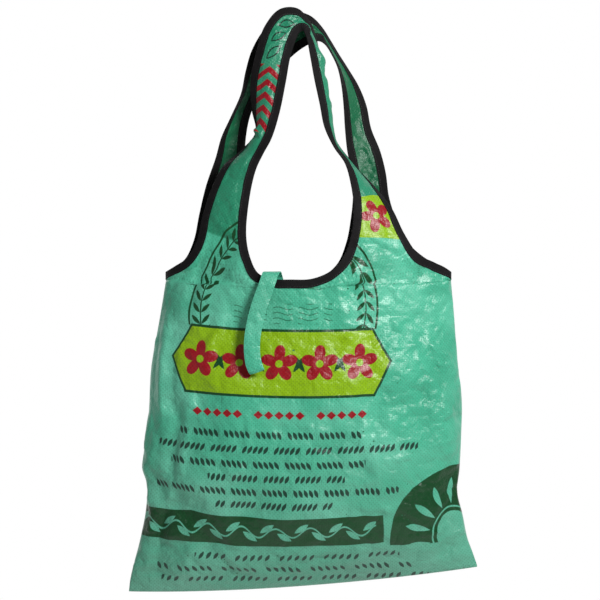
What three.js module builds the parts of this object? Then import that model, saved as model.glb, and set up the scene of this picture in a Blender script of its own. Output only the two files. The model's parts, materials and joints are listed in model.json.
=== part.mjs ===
import * as THREE from 'three';

// A shopping bag sewn from one woven plastic rice sack, hanging by its two hoop handles.
// Millimetres. X runs to the right, the printed front faces -Y, and Z is up. The origin is
// the hang point, the middle of a round peg just under the handles' inner edges.

const CLOTH_THICKNESS = 1.2;
const TAPE_THICKNESS = 1;
const TAPE_WIDTH = 10;
const SEWN_GAP = 0.45;
// The strip along each bound edge that stays straight between the tape's legs.
const BAND_WIDTH = 11.2;
const TAB_WIDTH = 20;

const ARMPIT_HEIGHT = -295;
const SIDE_TOP = ARMPIT_HEIGHT - BAND_WIDTH;
const LEFT_CORNER_HEIGHT = -708;
const RIGHT_CORNER_HEIGHT = -676;
const BOTTOM_MIDDLE_HEIGHT = -702;
const BODY_MIDDLE = -15;

// How fine the surface is.
const CELLS_ACROSS = 7;
const STEPS_PER_SECTION = 2;
const BODY_ROWS = 20;
const TAB_ROWS = 30;
const TAB_CELLS = 4;

// How the cloth curves from its outer line to its inner line.
const STRAP_EASE = 0.38;
const FACE_EASE = 0.6;
const SIDE_ROUND = 0.5;
const SIDE_ROUND_LEAST = 2;
// The sections over which a face turns into a strap.
const SHOULDER_SECTIONS = 4;
// How far down a face, and how many times, the cloth is smoothed into its shoulders.
const SHOULDER_SHARE = 0.25;
const RELAX_ROUNDS = 6;
// How far off the side folds' plane the main folds begin, and over what distance they grow.
const FOLDS_START = 1;
const FOLDS_FADE = 12;

function table(columns, rows) {
  return rows.map((row) => Object.fromEntries(columns.map((column, i) => [column, row[i]])));
}

// Sections of a hoop handle, from the left armpit up, over the hang point and down to the right
// armpit. Each section runs from a point on the outer edge to one on the mouth's edge. A turn is
// how far the cloth bends away from the straight line between the two, in degrees.
const SECTION_COLUMNS = [
  'mouthX', 'mouthY', 'mouthZ', 'mouthTurn', 'outerX', 'outerY', 'outerZ', 'outerTurn',
];

const FRONT_SECTIONS = table(SECTION_COLUMNS, [
  [-15, -58, -306, 0, -178, 0, -295, 0],
  [-39, -57, -305, 0, -165, -14, -288, 0],
  [-57, -55, -298, 4, -149, -26, -278, 4],
  [-67, -51, -280, 8, -136, -30, -258, 8],
  [-73, -46, -250, 12, -127, -29, -220, 12],
  [-69, -42, -201, 14, -116, -26, -187, 14],
  [-61, -38, -165, 16, -102, -20, -159, 16],
  [-52, -35, -145, 26, -78, -8, -136, 26],
  [-41, -32, -124, 38, -61, -4, -114, 34],
  [-31, -28, -91, 24, -66, -8, -83, 24],
  [-23, -23, -51, 13, -67, -12, -47, 16],
  [-17, -18, -17, 10, -59, -14, -8, 12],
  [-10, -14, 5, 6, -49, -13, 22, 8],
  [-6, -12, 14, 3, -30, -12, 44, 3],
  [-2, -12, 17, 0, -8, -8, 46, 0],
  [1, -14, 16.5, 2, 8, 5, 32, 2],
  [3, -16, 12, 8, 15, 11, 18, 8],
  [6, -18, 3, 22, 19, 14, 2, 18],
  [10, -19, -18, 36, 23, 17, -18, 28],
  [15, -20, -46, 48, 26, 19, -44, 28],
  [22, -22, -79, 50, 28, 20, -77, 28],
  [28, -25, -109, 36, 34, 18, -107, 24],
  [40, -28, -135, 12, 46, 14, -129, 10],
  [54, -32, -156, 16, 68, 8, -157, 10],
  [62, -37, -186, 20, 92, -4, -184, 16],
  [65, -42, -215, 14, 113, -22, -213, 14],
  [62, -47, -247, 12, 129, -30, -247, 12],
  [53, -51, -275, 8, 147, -28, -273, 8],
  [35, -55, -295, 4, 168, -19, -283, 4],
  [11, -57, -305, 0, 183, -9, -290, 0],
  [-15, -58, -306, 0, 192, 0, -295, 0],
]);

const BACK_SECTIONS = table(SECTION_COLUMNS, [
  [-16, 50, -310, 0, -178, 0, -295, 0],
  [-46, 49, -307, 0, -167, 12, -288, 0],
  [-65, 47, -294, 4, -154, 22, -277, 4],
  [-75, 44, -264, 8, -143, 27, -252, 8],
  [-80, 40, -222, 10, -136, 27, -218, 9],
  [-79, 36, -179, 10, -127, 25, -181, 12],
  [-78, 32, -143, 13, -114, 18, -145, 18],
  [-76, 29, -115, 22, -106, 9, -119, 26],
  [-71, 26, -90, 26, -93, 3, -92, 30],
  [-61, 23, -65, 26, -80, 0, -63, 26],
  [-46, 20, -40, 20, -74, 0, -34, 22],
  [-25, 17, -20, 12, -66, 4, -6, 14],
  [-7, 17, -4, 8, -50, 9, 22, 8],
  [5, 18, 4, 4, -30, 12, 40, 4],
  [14, 18, 8.5, 2, -8, 16, 46, 2],
  [20, 19, 9.5, 2, 10, 24, 42, 2],
  [25, 19, 8, 4, 25, 38, 30, 4],
  [31, 20, 3, 6, 36, 48, 15, 6],
  [38, 21, -8, 8, 47, 54, -2, 8],
  [46, 23, -25, 8, 60, 56, -22, 8],
  [51, 24, -47, 10, 74, 54, -46, 10],
  [54, 24, -74, 12, 84, 48, -73, 12],
  [56, 27, -104, 10, 90, 46, -103, 10],
  [59, 30, -133, 8, 102, 42, -134, 8],
  [65, 34, -162, 8, 109, 38, -163, 8],
  [67, 38, -192, 8, 113, 33, -195, 8],
  [64, 42, -225, 8, 123, 29, -227, 8],
  [58, 45, -256, 8, 138, 27, -256, 8],
  [45, 47, -285, 4, 161, 22, -277, 4],
  [16, 49, -306, 0, 183, 10, -288, 0],
  [-16, 50, -310, 0, 192, 0, -295, 0],
]);

// Sections of the bag below its armpits: how far down, the two side folds, and how far the
// middle of each face stands off the plane between them.
const BODY_SECTIONS = table(['down', 'left', 'right', 'front', 'back'], [
  [0, -178, 192, 58, 50],
  [0.12, -186, 196, 61, 53],
  [0.28, -197, 200, 64, 56],
  [0.42, -200, 206, 66, 58],
  [0.55, -204, 205, 66, 58],
  [0.66, -202, 203, 63, 56],
  [0.74, -204, 200, 58, 52],
  [0.82, -210, 207, 49, 44],
  [0.9, -218, 213, 34, 31],
  [0.96, -224, 221, 17, 16],
  [1, -226, 226, 3.5, 3.5],
]);

// The main folds, as soft ridges, or troughs where the height is below zero.
const FOLDS = table(['face', 'x1', 'z1', 'x2', 'z2', 'width', 'height'], [
  ['front', 68, -270, 74, -350, 12, -4],
  ['front', 188, -560, 184, -650, 14, -7],
  ['front', -176, -320, -90, -420, 18, 4],
  ['front', 186, -320, 110, -430, 18, 4],
  ['front', -185, -560, -120, -640, 16, -5],
  ['front', -60, -420, -150, -560, 24, 3],
  ['front', 40, -430, 130, -590, 24, 3],
  ['back', -170, -330, -70, -440, 20, 5],
  ['back', 180, -330, 80, -440, 20, 5],
  ['back', -20, -330, 0, -560, 26, -4],
  ['back', -190, -560, -120, -650, 16, -5],
  ['back', 190, -560, 130, -640, 16, -5],
]);

// The middle line of the closure tab, from its sewn end inside the mouth, over the edge and
// down the front.
const TAB_LINE = table(['x', 'y', 'z'], [
  [-33, -51.6, -324],
  [-34, -51.6, -312],
  [-36, -52, -303],
  [-38, -57, -296.5],
  [-41, -63, -298.5],
  [-44, -66, -307],
  [-49, -67, -321],
  [-55, -68, -338],
  [-60, -70, -357],
  [-63.5, -71.5, -378],
  [-64, -72.5, -396],
  [-62, -73, -410],
  [-59, -72.6, -418],
  [-57.5, -70.8, -421],
]);
const TAB_CROWN = 1.2;

const X = new THREE.Vector3(1, 0, 0);
const Y = new THREE.Vector3(0, 1, 0);

function mix(a, b, share) {
  return a.clone().lerp(b, share);
}

function along(a, direction, distance) {
  return a.clone().addScaledVector(direction, distance);
}

function flatTo(vector, normal) {
  return vector.clone().projectOnPlane(normal).normalize();
}

// A smooth value from a table's column, by the cubic that passes through its rows.
function sample(rows, key, column, at) {
  const last = rows.length - 2;
  let i = 0;
  while (i < last && rows[i + 1][key] <= at) i += 1;
  const slope = (k) => {
    const before = rows[Math.max(k - 1, 0)];
    const after = rows[Math.min(k + 1, rows.length - 1)];
    return (after[column] - before[column]) / (after[key] - before[key]);
  };
  const span = rows[i + 1][key] - rows[i][key];
  const t = (at - rows[i][key]) / span;
  const rise = t * t * (3 - 2 * t);
  const value = rows[i][column] * (1 - rise) + rows[i + 1][column] * rise;
  const leaving = slope(i) * span * t * (1 - t) * (1 - t);
  const arriving = slope(i + 1) * span * t * t * (1 - t);
  return value + leaving - arriving;
}

// A sheet with no thickness: shared points, and triangles that face outwards.
class Sheet {
  constructor() {
    this.points = [];
    this.faces = [];
    this.found = new Map();
  }

  at(point) {
    const key = point.toArray().map((value) => Math.round(value * 1000)).join();
    if (!this.found.has(key)) {
      this.found.set(key, this.points.length);
      this.points.push(point);
    }
    return this.found.get(key);
  }

  triangle(a, b, c) {
    if (a !== b && b !== c && c !== a) this.faces.push([a, b, c]);
  }

  // The corners go round anticlockwise, seen from outside.
  quad(a, b, c, d, turned = false) {
    if (turned) {
      this.triangle(a, c, b);
      this.triangle(a, d, c);
    } else {
      this.triangle(a, b, c);
      this.triangle(a, c, d);
    }
  }

  normals() {
    const normals = this.points.map(() => new THREE.Vector3());
    for (const face of this.faces) {
      const [a, b, c] = face.map((i) => this.points[i]);
      const area = b.clone().sub(a).cross(c.clone().sub(a));
      for (const i of face) normals[i].add(area);
    }
    return normals.map((normal) => normal.normalize());
  }

  // Moves each of these points towards the middle of its neighbours.
  relax(loose, rounds) {
    const neighbours = this.points.map(() => new Set());
    for (const face of this.faces) {
      for (const i of face) face.forEach((k) => k !== i && neighbours[i].add(k));
    }
    for (let round = 0; round < rounds; round += 1) {
      const moved = [...loose].map((i) => {
        const middle = new THREE.Vector3();
        neighbours[i].forEach((k) => middle.add(this.points[k]));
        return [i, mix(this.points[i], middle.divideScalar(neighbours[i].size), 0.5)];
      });
      for (const [i, point] of moved) this.points[i].copy(point);
    }
  }

  // The edges that only one triangle has.
  rim() {
    const edges = new Map();
    for (const [a, b, c] of this.faces) {
      for (const [from, to] of [[a, b], [b, c], [c, a]]) {
        if (!edges.delete(`${to} ${from}`)) edges.set(`${from} ${to}`, [from, to]);
      }
    }
    return [...edges.values()];
  }
}

function closedGeometry(points, faces) {
  const geometry = new THREE.BufferGeometry();
  const places = points.flatMap((point) => point.toArray());
  geometry.setAttribute('position', new THREE.Float32BufferAttribute(places, 3));
  geometry.setIndex(faces.flat());
  geometry.computeVertexNormals();
  return geometry;
}

// The sheet as cloth: its two faces stand half the thickness off it, and its rims are closed.
function clothGeometry(sheet, thickness) {
  const normals = sheet.normals();
  const outside = sheet.points.map((point, i) => along(point, normals[i], thickness / 2));
  const inside = sheet.points.map((point, i) => along(point, normals[i], -thickness / 2));
  const count = sheet.points.length;
  const faces = sheet.faces.flatMap(([a, b, c]) => [[a, b, c], [a + count, c + count, b + count]]);
  for (const [from, to] of sheet.rim()) {
    faces.push([to, from, from + count], [to, from + count, to + count]);
  }
  return closedGeometry([...outside, ...inside], faces);
}

// Folded tape round an edge, U-shaped in section. Each station has the cloth's edge and the
// line where the tape's two legs end. A leading station's cells are split from its edge to the
// next tip, as the cloth between the legs is.
function tapeGeometry(stations) {
  const near = CLOTH_THICKNESS / 2 + SEWN_GAP;
  const far = near + TAPE_THICKNESS;
  const points = stations.flatMap(({ edge, tip, edgeNormal, tipNormal }) => {
    const outward = edge.clone().sub(tip).normalize();
    const fold = along(edge, outward, SEWN_GAP + TAPE_THICKNESS);
    const slot = along(edge, outward, SEWN_GAP);
    return [
      along(tip, tipNormal, far),
      along(fold, edgeNormal, far),
      along(fold, edgeNormal, -far),
      along(tip, tipNormal, -far),
      along(tip, tipNormal, -near),
      along(slot, edgeNormal, -near),
      along(slot, edgeNormal, near),
      along(tip, tipNormal, near),
    ];
  });
  const onEdge = [false, true, true, false, false, true, true, false];
  const corners = onEdge.length;
  const faces = [];
  stations.forEach(({ leading }, i) => {
    const here = i * corners;
    const next = ((i + 1) % stations.length) * corners;
    for (let k = 0; k < corners; k += 1) {
      const l = (k + 1) % corners;
      const [a, b, c, d] = [here + k, here + l, next + l, next + k];
      if (onEdge[k] === leading) {
        faces.push([a, b, c], [a, c, d]);
      } else {
        faces.push([a, b, d], [b, c, d]);
      }
    }
  });
  return outwardGeometry(points, faces);
}

function outwardGeometry(points, faces) {
  let volume = 0;
  for (const [a, b, c] of faces) {
    volume += points[a].dot(points[b].clone().cross(points[c]));
  }
  return closedGeometry(points, volume > 0 ? faces : faces.map(([a, b, c]) => [a, c, b]));
}

function pointsOf(sections, name) {
  return sections.map((row) => new THREE.Vector3(row[`${name}X`], row[`${name}Y`], row[`${name}Z`]));
}

const frontOuter = pointsOf(FRONT_SECTIONS, 'outer');
const backOuter = pointsOf(BACK_SECTIONS, 'outer');
// One closed line: up the front handle's outer edge, through the right armpit, and back again
// along the rear handle's.
const OUTER_LINE = new THREE.CatmullRomCurve3([...frontOuter, ...backOuter.slice(1, -1).reverse()], true);
const SECTION_SPANS = FRONT_SECTIONS.length - 1;
const STATIONS = SECTION_SPANS * STEPS_PER_SECTION;

// One face of the bag. `out` is -1 where the printed side faces -Y, and 1 where it faces Y.
function makeFace(name, sections, out) {
  const mouthLine = new THREE.CatmullRomCurve3(pointsOf(sections, 'mouth').slice(0, -1), true);
  const numbered = sections.map((row, section) => ({ ...row, section }));
  const folds = FOLDS.filter((fold) => fold.face === name);

  // Folds fade out at the side folds, which both faces share.
  function folded(point) {
    const share = THREE.MathUtils.clamp((Math.abs(point.y) - FOLDS_START) / FOLDS_FADE, 0, 1);
    let lift = 0;
    for (const { x1, z1, x2, z2, width, height } of folds) {
      const [runX, runZ] = [x2 - x1, z2 - z1];
      const t = ((point.x - x1) * runX + (point.z - z1) * runZ) / (runX * runX + runZ * runZ);
      const on = Math.min(1, Math.max(0, t));
      const away = Math.hypot(point.x - x1 - on * runX, point.z - z1 - on * runZ);
      lift += height * Math.exp(-((away / width) ** 2));
    }
    return along(point, Y, out * lift * share);
  }

  function curve(from, fromHandle, toHandle, to) {
    const leaving = from.clone().add(fromHandle);
    const arriving = to.clone().add(toHandle);
    return new THREE.CubicBezierCurve3(from, leaving, arriving, to).getPoints(CELLS_ACROSS);
  }

  // Points from the outer edge to the mouth's edge, with the tape's width at each end.
  function station(index) {
    const section = index / STEPS_PER_SECTION;
    const share = section / SECTION_SPANS;
    const outerShare = out < 0 ? share / 2 : 1 - share / 2;
    const outer = OUTER_LINE.getPoint(outerShare % 1);
    const outerTangent = OUTER_LINE.getTangent(outerShare % 1).multiplyScalar(-out);
    const mouth = mouthLine.getPoint(share % 1);
    const mouthTangent = mouthLine.getTangent(share % 1);
    const chord = mouth.clone().sub(outer);
    const fromEnd = Math.min(section, SECTION_SPANS - section) / SHOULDER_SECTIONS;
    const strap = THREE.MathUtils.smoothstep(fromEnd, 0, 1);

    const faceAt = (tangent, turn, plain) => {
      const straight = chord.clone().cross(tangent).multiplyScalar(-out).normalize();
      straight.applyAxisAngle(tangent, THREE.MathUtils.degToRad(turn));
      return flatTo(mix(plain, straight, strap), tangent);
    };
    const sideways = section < SECTION_SPANS / 2 ? -1 : 1;
    const aside = 1 - Math.min(1, fromEnd);
    const plainOuter = new THREE.Vector3(sideways * aside, out * (1 - aside), 0).normalize();
    const outerTurn = sample(numbered, 'section', 'outerTurn', section);
    const mouthTurn = sample(numbered, 'section', 'mouthTurn', section);
    const outerNormal = faceAt(outerTangent, out * outerTurn, plainOuter);
    const mouthNormal = faceAt(mouthTangent, -out * mouthTurn, along(new THREE.Vector3(), Y, out));

    const outerIn = outerTangent.clone().cross(outerNormal).multiplyScalar(-out);
    const mouthIn = mouthNormal.clone().cross(mouthTangent).multiplyScalar(-out);
    const outerTip = along(outer, outerIn, BAND_WIDTH);
    const mouthTip = along(mouth, mouthIn, BAND_WIDTH);
    const across = mouthTip.clone().sub(outerTip);
    const width = across.length();
    const sideHandle = SIDE_ROUND * Math.abs(across.y) + SIDE_ROUND_LEAST;
    const outerHandle = THREE.MathUtils.lerp(sideHandle, STRAP_EASE * width, strap);
    const mouthHandle = THREE.MathUtils.lerp(FACE_EASE, STRAP_EASE, strap) * width;
    const cells = curve(
      outerTip,
      flatTo(across, outerNormal).multiplyScalar(outerHandle),
      flatTo(across.clone().negate(), mouthNormal).multiplyScalar(mouthHandle),
      mouthTip,
    );
    return [outer, ...cells, mouth].map(folded);
  }

  // Points across the face from the left side fold to the right one.
  function row(index, firstRow) {
    if (index === 0) return firstRow;
    const down = index / BODY_ROWS;
    const level = (bottom, top) => THREE.MathUtils.lerp(top, bottom, down);
    const across = (column) => sample(BODY_SECTIONS, 'down', column, down);
    const depth = across(name);
    const middleTop = firstRow[CELLS_ACROSS].z;
    const left = new THREE.Vector3(across('left'), 0, level(LEFT_CORNER_HEIGHT, SIDE_TOP));
    const right = new THREE.Vector3(across('right'), 0, level(RIGHT_CORNER_HEIGHT, SIDE_TOP));
    const middle = new THREE.Vector3(BODY_MIDDLE, out * depth, level(BOTTOM_MIDDLE_HEIGHT, middleTop));
    const sideHandle = new THREE.Vector3(0, out * (SIDE_ROUND * depth + SIDE_ROUND_LEAST), 0);
    const tilt = right.clone().sub(left).normalize();
    const reach = (side) => FACE_EASE * middle.distanceTo(side);
    const leftHalf = curve(left, sideHandle, tilt.clone().multiplyScalar(-reach(left)), middle);
    const rightHalf = curve(right, sideHandle, tilt.clone().multiplyScalar(reach(right)), middle);
    return [...leftHalf, ...rightHalf.reverse().slice(1)].map(folded);
  }

  const stations = [];
  for (let i = 0; i <= STATIONS; i += 1) stations.push(station(i));
  const firstRow = [...stations[0].slice(1, -1), ...stations[STATIONS].slice(1, -2).reverse()];
  const rows = [];
  for (let i = 0; i <= BODY_ROWS; i += 1) rows.push(row(i, firstRow));
  return { stations, rows, turned: out > 0 };
}

function addGrid(sheet, grid, turned) {
  const cells = grid.map((line) => line.map((point) => sheet.at(point)));
  for (let i = 0; i + 1 < cells.length; i += 1) {
    for (let k = 0; k + 1 < cells[i].length; k += 1) {
      sheet.quad(cells[i][k], cells[i][k + 1], cells[i + 1][k + 1], cells[i + 1][k], turned);
    }
  }
}

const front = makeFace('front', FRONT_SECTIONS, -1);
const back = makeFace('back', BACK_SECTIONS, 1);

const sack = new Sheet();
for (const { stations, rows, turned } of [front, back]) {
  addGrid(sack, stations, turned);
  addGrid(sack, rows, !turned);
}
addGrid(sack, [front.rows[BODY_ROWS], back.rows[BODY_ROWS]], true);

// The cloth runs smoothly from a face into its shoulders, so the points near the line between
// them are relaxed, but not the bound edges or the side folds.
const looseBelow = BODY_ROWS * SHOULDER_SHARE;
const looseAbove = STEPS_PER_SECTION * SHOULDER_SECTIONS;
const loose = new Set();
for (const { stations, rows } of [front, back]) {
  const shoulders = [...stations.slice(0, looseAbove), ...stations.slice(-looseAbove)];
  const inStraps = shoulders.flatMap((line) => line.slice(2, -2));
  const inFace = rows.slice(1, looseBelow).flatMap((line) => line.slice(1, -1));
  for (const point of [...inStraps, ...inFace]) loose.add(sack.at(point));
}
sack.relax(loose, RELAX_ROUNDS);

const sackNormals = sack.normals();

function tapeStation(edge, bandEnd, leading) {
  const reach = TAPE_WIDTH / BAND_WIDTH;
  const tip = mix(edge, bandEnd, reach);
  const edgeNormal = sackNormals[sack.at(edge)];
  const tipNormal = mix(edgeNormal, sackNormals[sack.at(bandEnd)], reach);
  return { edge, tip, edgeNormal, tipNormal, leading };
}

function mouthTape(face) {
  const round = face.stations.slice(0, STATIONS);
  return tapeGeometry(round.map((line) => tapeStation(line.at(-1), line.at(-2), false)));
}

function outerTape() {
  const up = front.stations.slice(0, STATIONS).map((line) => tapeStation(line[0], line[1], true));
  const down = back.stations.slice(1).reverse().map((line) => tapeStation(line[0], line[1], false));
  return tapeGeometry([...up, ...down]);
}

// The tab is a strip of the sack cloth, a little crowned across its width.
function tabGeometry() {
  const line = new THREE.CatmullRomCurve3(TAB_LINE.map(({ x, y, z }) => new THREE.Vector3(x, y, z)));
  const tab = new Sheet();
  const grid = [];
  for (let i = 0; i <= TAB_ROWS; i += 1) {
    const middle = line.getPoint(i / TAB_ROWS);
    const tangent = line.getTangent(i / TAB_ROWS);
    const across = flatTo(X, tangent);
    const outward = across.clone().cross(tangent).negate();
    const strip = [];
    for (let k = 0; k <= TAB_CELLS; k += 1) {
      const share = (2 * k) / TAB_CELLS - 1;
      const edge = along(middle, across, (share * TAB_WIDTH) / 2);
      strip.push(along(edge, outward, TAB_CROWN * (1 - share * share)));
    }
    grid.push(strip);
  }
  addGrid(tab, grid, true);
  return clothGeometry(tab, CLOTH_THICKNESS);
}

const sackCloth = new THREE.MeshStandardMaterial({ color: 0x56be96, roughness: 0.42, metalness: 0 });
const tabCloth = new THREE.MeshStandardMaterial({ color: 0x5cc49c, roughness: 0.42, metalness: 0 });
const blackTape = new THREE.MeshStandardMaterial({ color: 0x121012, roughness: 0.85, metalness: 0 });

function piece(name, geometry, material) {
  const mesh = new THREE.Mesh(geometry, material);
  mesh.name = name;
  return mesh;
}

const bag = new THREE.Group();
bag.add(piece('sack', clothGeometry(sack, CLOTH_THICKNESS), sackCloth));
bag.add(piece('mouth_binding_front', mouthTape(front), blackTape));
bag.add(piece('mouth_binding_back', mouthTape(back), blackTape));
bag.add(piece('outer_binding', outerTape(), blackTape));
bag.add(piece('closure_tab', tabGeometry(), tabCloth));

export default bag;
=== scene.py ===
"""A shopping bag made from a woven rice sack, hanging by its two hoop handles.

The tables and the shape code are in millimetres, and every mesh is turned into metres when it is
made. X runs to the right, the printed front faces -Y, and Z is up. The origin is the hang point.
"""

import json
import math

import bpy
import numpy as np
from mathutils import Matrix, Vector

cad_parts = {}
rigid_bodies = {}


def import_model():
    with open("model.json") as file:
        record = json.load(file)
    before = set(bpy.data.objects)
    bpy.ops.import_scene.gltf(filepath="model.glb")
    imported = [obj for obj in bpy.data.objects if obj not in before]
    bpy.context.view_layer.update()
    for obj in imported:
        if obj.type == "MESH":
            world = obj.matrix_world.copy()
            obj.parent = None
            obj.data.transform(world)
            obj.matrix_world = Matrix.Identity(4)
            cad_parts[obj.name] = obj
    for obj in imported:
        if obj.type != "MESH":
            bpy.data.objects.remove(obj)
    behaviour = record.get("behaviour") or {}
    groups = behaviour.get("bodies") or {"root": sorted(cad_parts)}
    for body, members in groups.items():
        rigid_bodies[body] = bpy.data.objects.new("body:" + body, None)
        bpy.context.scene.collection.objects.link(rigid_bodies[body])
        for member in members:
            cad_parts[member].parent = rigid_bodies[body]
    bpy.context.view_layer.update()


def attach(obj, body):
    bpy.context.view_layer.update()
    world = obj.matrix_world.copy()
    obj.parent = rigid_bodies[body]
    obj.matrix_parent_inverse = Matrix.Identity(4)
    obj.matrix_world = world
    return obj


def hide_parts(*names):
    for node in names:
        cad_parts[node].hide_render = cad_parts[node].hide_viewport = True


MM = 0.001

# Cloth and tape.
CLOTH_THICKNESS = 0.5
TAPE_THICKNESS = 0.5
SEWN_GAP = 0.12
TAPE_WIDTH = 10.0
BAND_WIDTH = 11.2
TAB_WIDTH = 20.0
TAB_THICKNESS = 0.9

# The bag's body.
SIDE_TOP = -295.0 - BAND_WIDTH
LEFT_CORNER_HEIGHT = -708.0
RIGHT_CORNER_HEIGHT = -676.0
BOTTOM_MIDDLE_HEIGHT = -702.0
BODY_MIDDLE = -15.0
SACK_WIDTH = 450.0

# How fine the meshes are.
STRAP_CELLS = 24
BODY_CELLS_EACH = 3
STEPS_PER_SECTION = 8
BODY_ROWS = 112
TAB_ROWS = 110
TAB_CELLS = 12

# How the cloth curves from its outer line to its inner line.
STRAP_EASE = 0.38
FACE_EASE = 0.6
SIDE_ROUND = 0.5
SIDE_ROUND_LEAST = 2.0
SHOULDER_SECTIONS = 4
SHOULDER_SHARE = 0.25
FOLDS_START = 1.0
FOLDS_FADE = 12.0


def table(columns, rows):
    """The rows' numbers as one array for each named column."""
    return dict(zip(columns.split(), np.array(rows, float).T))


SECTION_COLUMNS = "mouth_x mouth_y mouth_z mouth_turn outer_x outer_y outer_z outer_turn"

# Sections of a hoop handle, from the left armpit up, over the hang point and down to the right
# armpit. Each runs from a point on the outer edge to one on the mouth's edge. A turn is how far
# the cloth bends away from the straight line between the two, in degrees.
FRONT_SECTIONS = table(SECTION_COLUMNS, [
    [-15, -58, -306, 0, -178, 0, -295, 0],
    [-39, -57, -305, 0, -165, -14, -288, 0],
    [-57, -55, -298, 4, -149, -26, -278, 4],
    [-67, -51, -280, 8, -136, -30, -258, 8],
    [-73, -46, -250, 12, -127, -29, -220, 12],
    [-69, -42, -201, 14, -116, -26, -187, 14],
    [-61, -38, -165, 16, -102, -20, -159, 16],
    [-52, -35, -145, 26, -78, -8, -136, 26],
    [-41, -32, -124, 38, -61, -4, -114, 34],
    [-31, -28, -91, 24, -66, -8, -83, 24],
    [-23, -23, -51, 13, -67, -12, -47, 16],
    [-17, -18, -17, 10, -59, -14, -8, 12],
    [-10, -14, 5, 6, -49, -13, 22, 8],
    [-6, -12, 14, 3, -30, -12, 44, 3],
    [-2, -12, 17, 0, -8, -8, 46, 0],
    [1, -14, 16.5, 2, 8, 5, 32, 2],
    [3, -16, 12, 8, 15, 11, 18, 8],
    [6, -18, 3, 22, 19, 14, 2, 18],
    [10, -19, -18, 36, 23, 17, -18, 28],
    [15, -20, -46, 48, 26, 19, -44, 28],
    [22, -22, -79, 50, 28, 20, -77, 28],
    [28, -25, -109, 36, 34, 18, -107, 24],
    [40, -28, -135, 12, 46, 14, -129, 10],
    [54, -32, -156, 16, 68, 8, -157, 10],
    [62, -37, -186, 20, 92, -4, -184, 16],
    [65, -42, -215, 14, 113, -22, -213, 14],
    [62, -47, -247, 12, 129, -30, -247, 12],
    [53, -51, -275, 8, 147, -28, -273, 8],
    [35, -55, -295, 4, 168, -19, -283, 4],
    [11, -57, -305, 0, 183, -9, -290, 0],
    [-15, -58, -306, 0, 192, 0, -295, 0],
])

BACK_SECTIONS = table(SECTION_COLUMNS, [
    [-16, 50, -310, 0, -178, 0, -295, 0],
    [-46, 49, -307, 0, -167, 12, -288, 0],
    [-65, 47, -294, 4, -154, 22, -277, 4],
    [-75, 44, -264, 8, -143, 27, -252, 8],
    [-80, 40, -222, 10, -136, 27, -218, 9],
    [-79, 36, -179, 10, -127, 25, -181, 12],
    [-78, 32, -143, 13, -114, 18, -145, 18],
    [-76, 29, -115, 22, -106, 9, -119, 26],
    [-71, 26, -90, 26, -93, 3, -92, 30],
    [-61, 23, -65, 26, -80, 0, -63, 26],
    [-46, 20, -40, 20, -74, 0, -34, 22],
    [-25, 17, -20, 12, -66, 4, -6, 14],
    [-7, 17, -4, 8, -50, 9, 22, 8],
    [5, 18, 4, 4, -30, 12, 40, 4],
    [14, 18, 8.5, 2, -8, 16, 46, 2],
    [20, 19, 9.5, 2, 10, 24, 42, 2],
    [25, 19, 8, 4, 25, 38, 30, 4],
    [31, 20, 3, 6, 36, 48, 15, 6],
    [38, 21, -8, 8, 47, 54, -2, 8],
    [46, 23, -25, 8, 60, 56, -22, 8],
    [51, 24, -47, 10, 74, 54, -46, 10],
    [54, 24, -74, 12, 84, 48, -73, 12],
    [56, 27, -104, 10, 90, 46, -103, 10],
    [59, 30, -133, 8, 102, 42, -134, 8],
    [65, 34, -162, 8, 109, 38, -163, 8],
    [67, 38, -192, 8, 113, 33, -195, 8],
    [64, 42, -225, 8, 123, 29, -227, 8],
    [58, 45, -256, 8, 138, 27, -256, 8],
    [45, 47, -285, 4, 161, 22, -277, 4],
    [16, 49, -306, 0, 183, 10, -288, 0],
    [-16, 50, -310, 0, 192, 0, -295, 0],
])

# Sections of the bag below its armpits: how far down, the two side folds, and how far the
# middle of each face stands off the plane between them.
BODY_SECTIONS = table("down left right front back", [
    [0, -178, 192, 58, 50],
    [0.12, -186, 196, 61, 53],
    [0.28, -197, 200, 64, 56],
    [0.42, -200, 206, 66, 58],
    [0.55, -204, 205, 66, 58],
    [0.66, -202, 203, 63, 56],
    [0.74, -204, 200, 58, 52],
    [0.82, -210, 207, 49, 44],
    [0.9, -218, 213, 34, 31],
    [0.96, -224, 221, 17, 16],
    [1, -226, 226, 3.5, 3.5],
])

# The main folds of each face, as soft ridges, or troughs where the height is below zero.
FOLD_COLUMNS = "x1 z1 x2 z2 width height"
FRONT_FOLDS = table(FOLD_COLUMNS, [
    [68, -270, 74, -350, 12, -4],
    [188, -560, 184, -650, 14, -7],
    [-176, -320, -90, -420, 18, 4],
    [186, -320, 110, -430, 18, 4],
    [-185, -560, -120, -640, 16, -5],
    [-60, -420, -150, -560, 24, 3],
    [40, -430, 130, -590, 24, 3],
])
BACK_FOLDS = table(FOLD_COLUMNS, [
    [-170, -330, -70, -440, 20, 5],
    [180, -330, 80, -440, 20, 5],
    [-20, -330, 0, -560, 26, -4],
    [-190, -560, -120, -650, 16, -5],
    [190, -560, 130, -640, 16, -5],
])

# The middle line of the closure tab, from its sewn end inside the mouth, over the edge and
# down the front.
TAB_LINE = [
    [-33, -51.6, -324],
    [-34, -51.6, -312],
    [-36, -52, -303],
    [-38, -57, -296.5],
    [-41, -63, -298.5],
    [-44, -66, -307],
    [-49, -67, -321],
    [-55, -68, -338],
    [-60, -70, -357],
    [-63.5, -71.5, -378],
    [-64, -72.5, -396],
    [-62, -73, -410],
    [-59, -72.6, -418],
    [-57.5, -70.8, -421],
]
TAB_CROWN = 1.2

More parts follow.
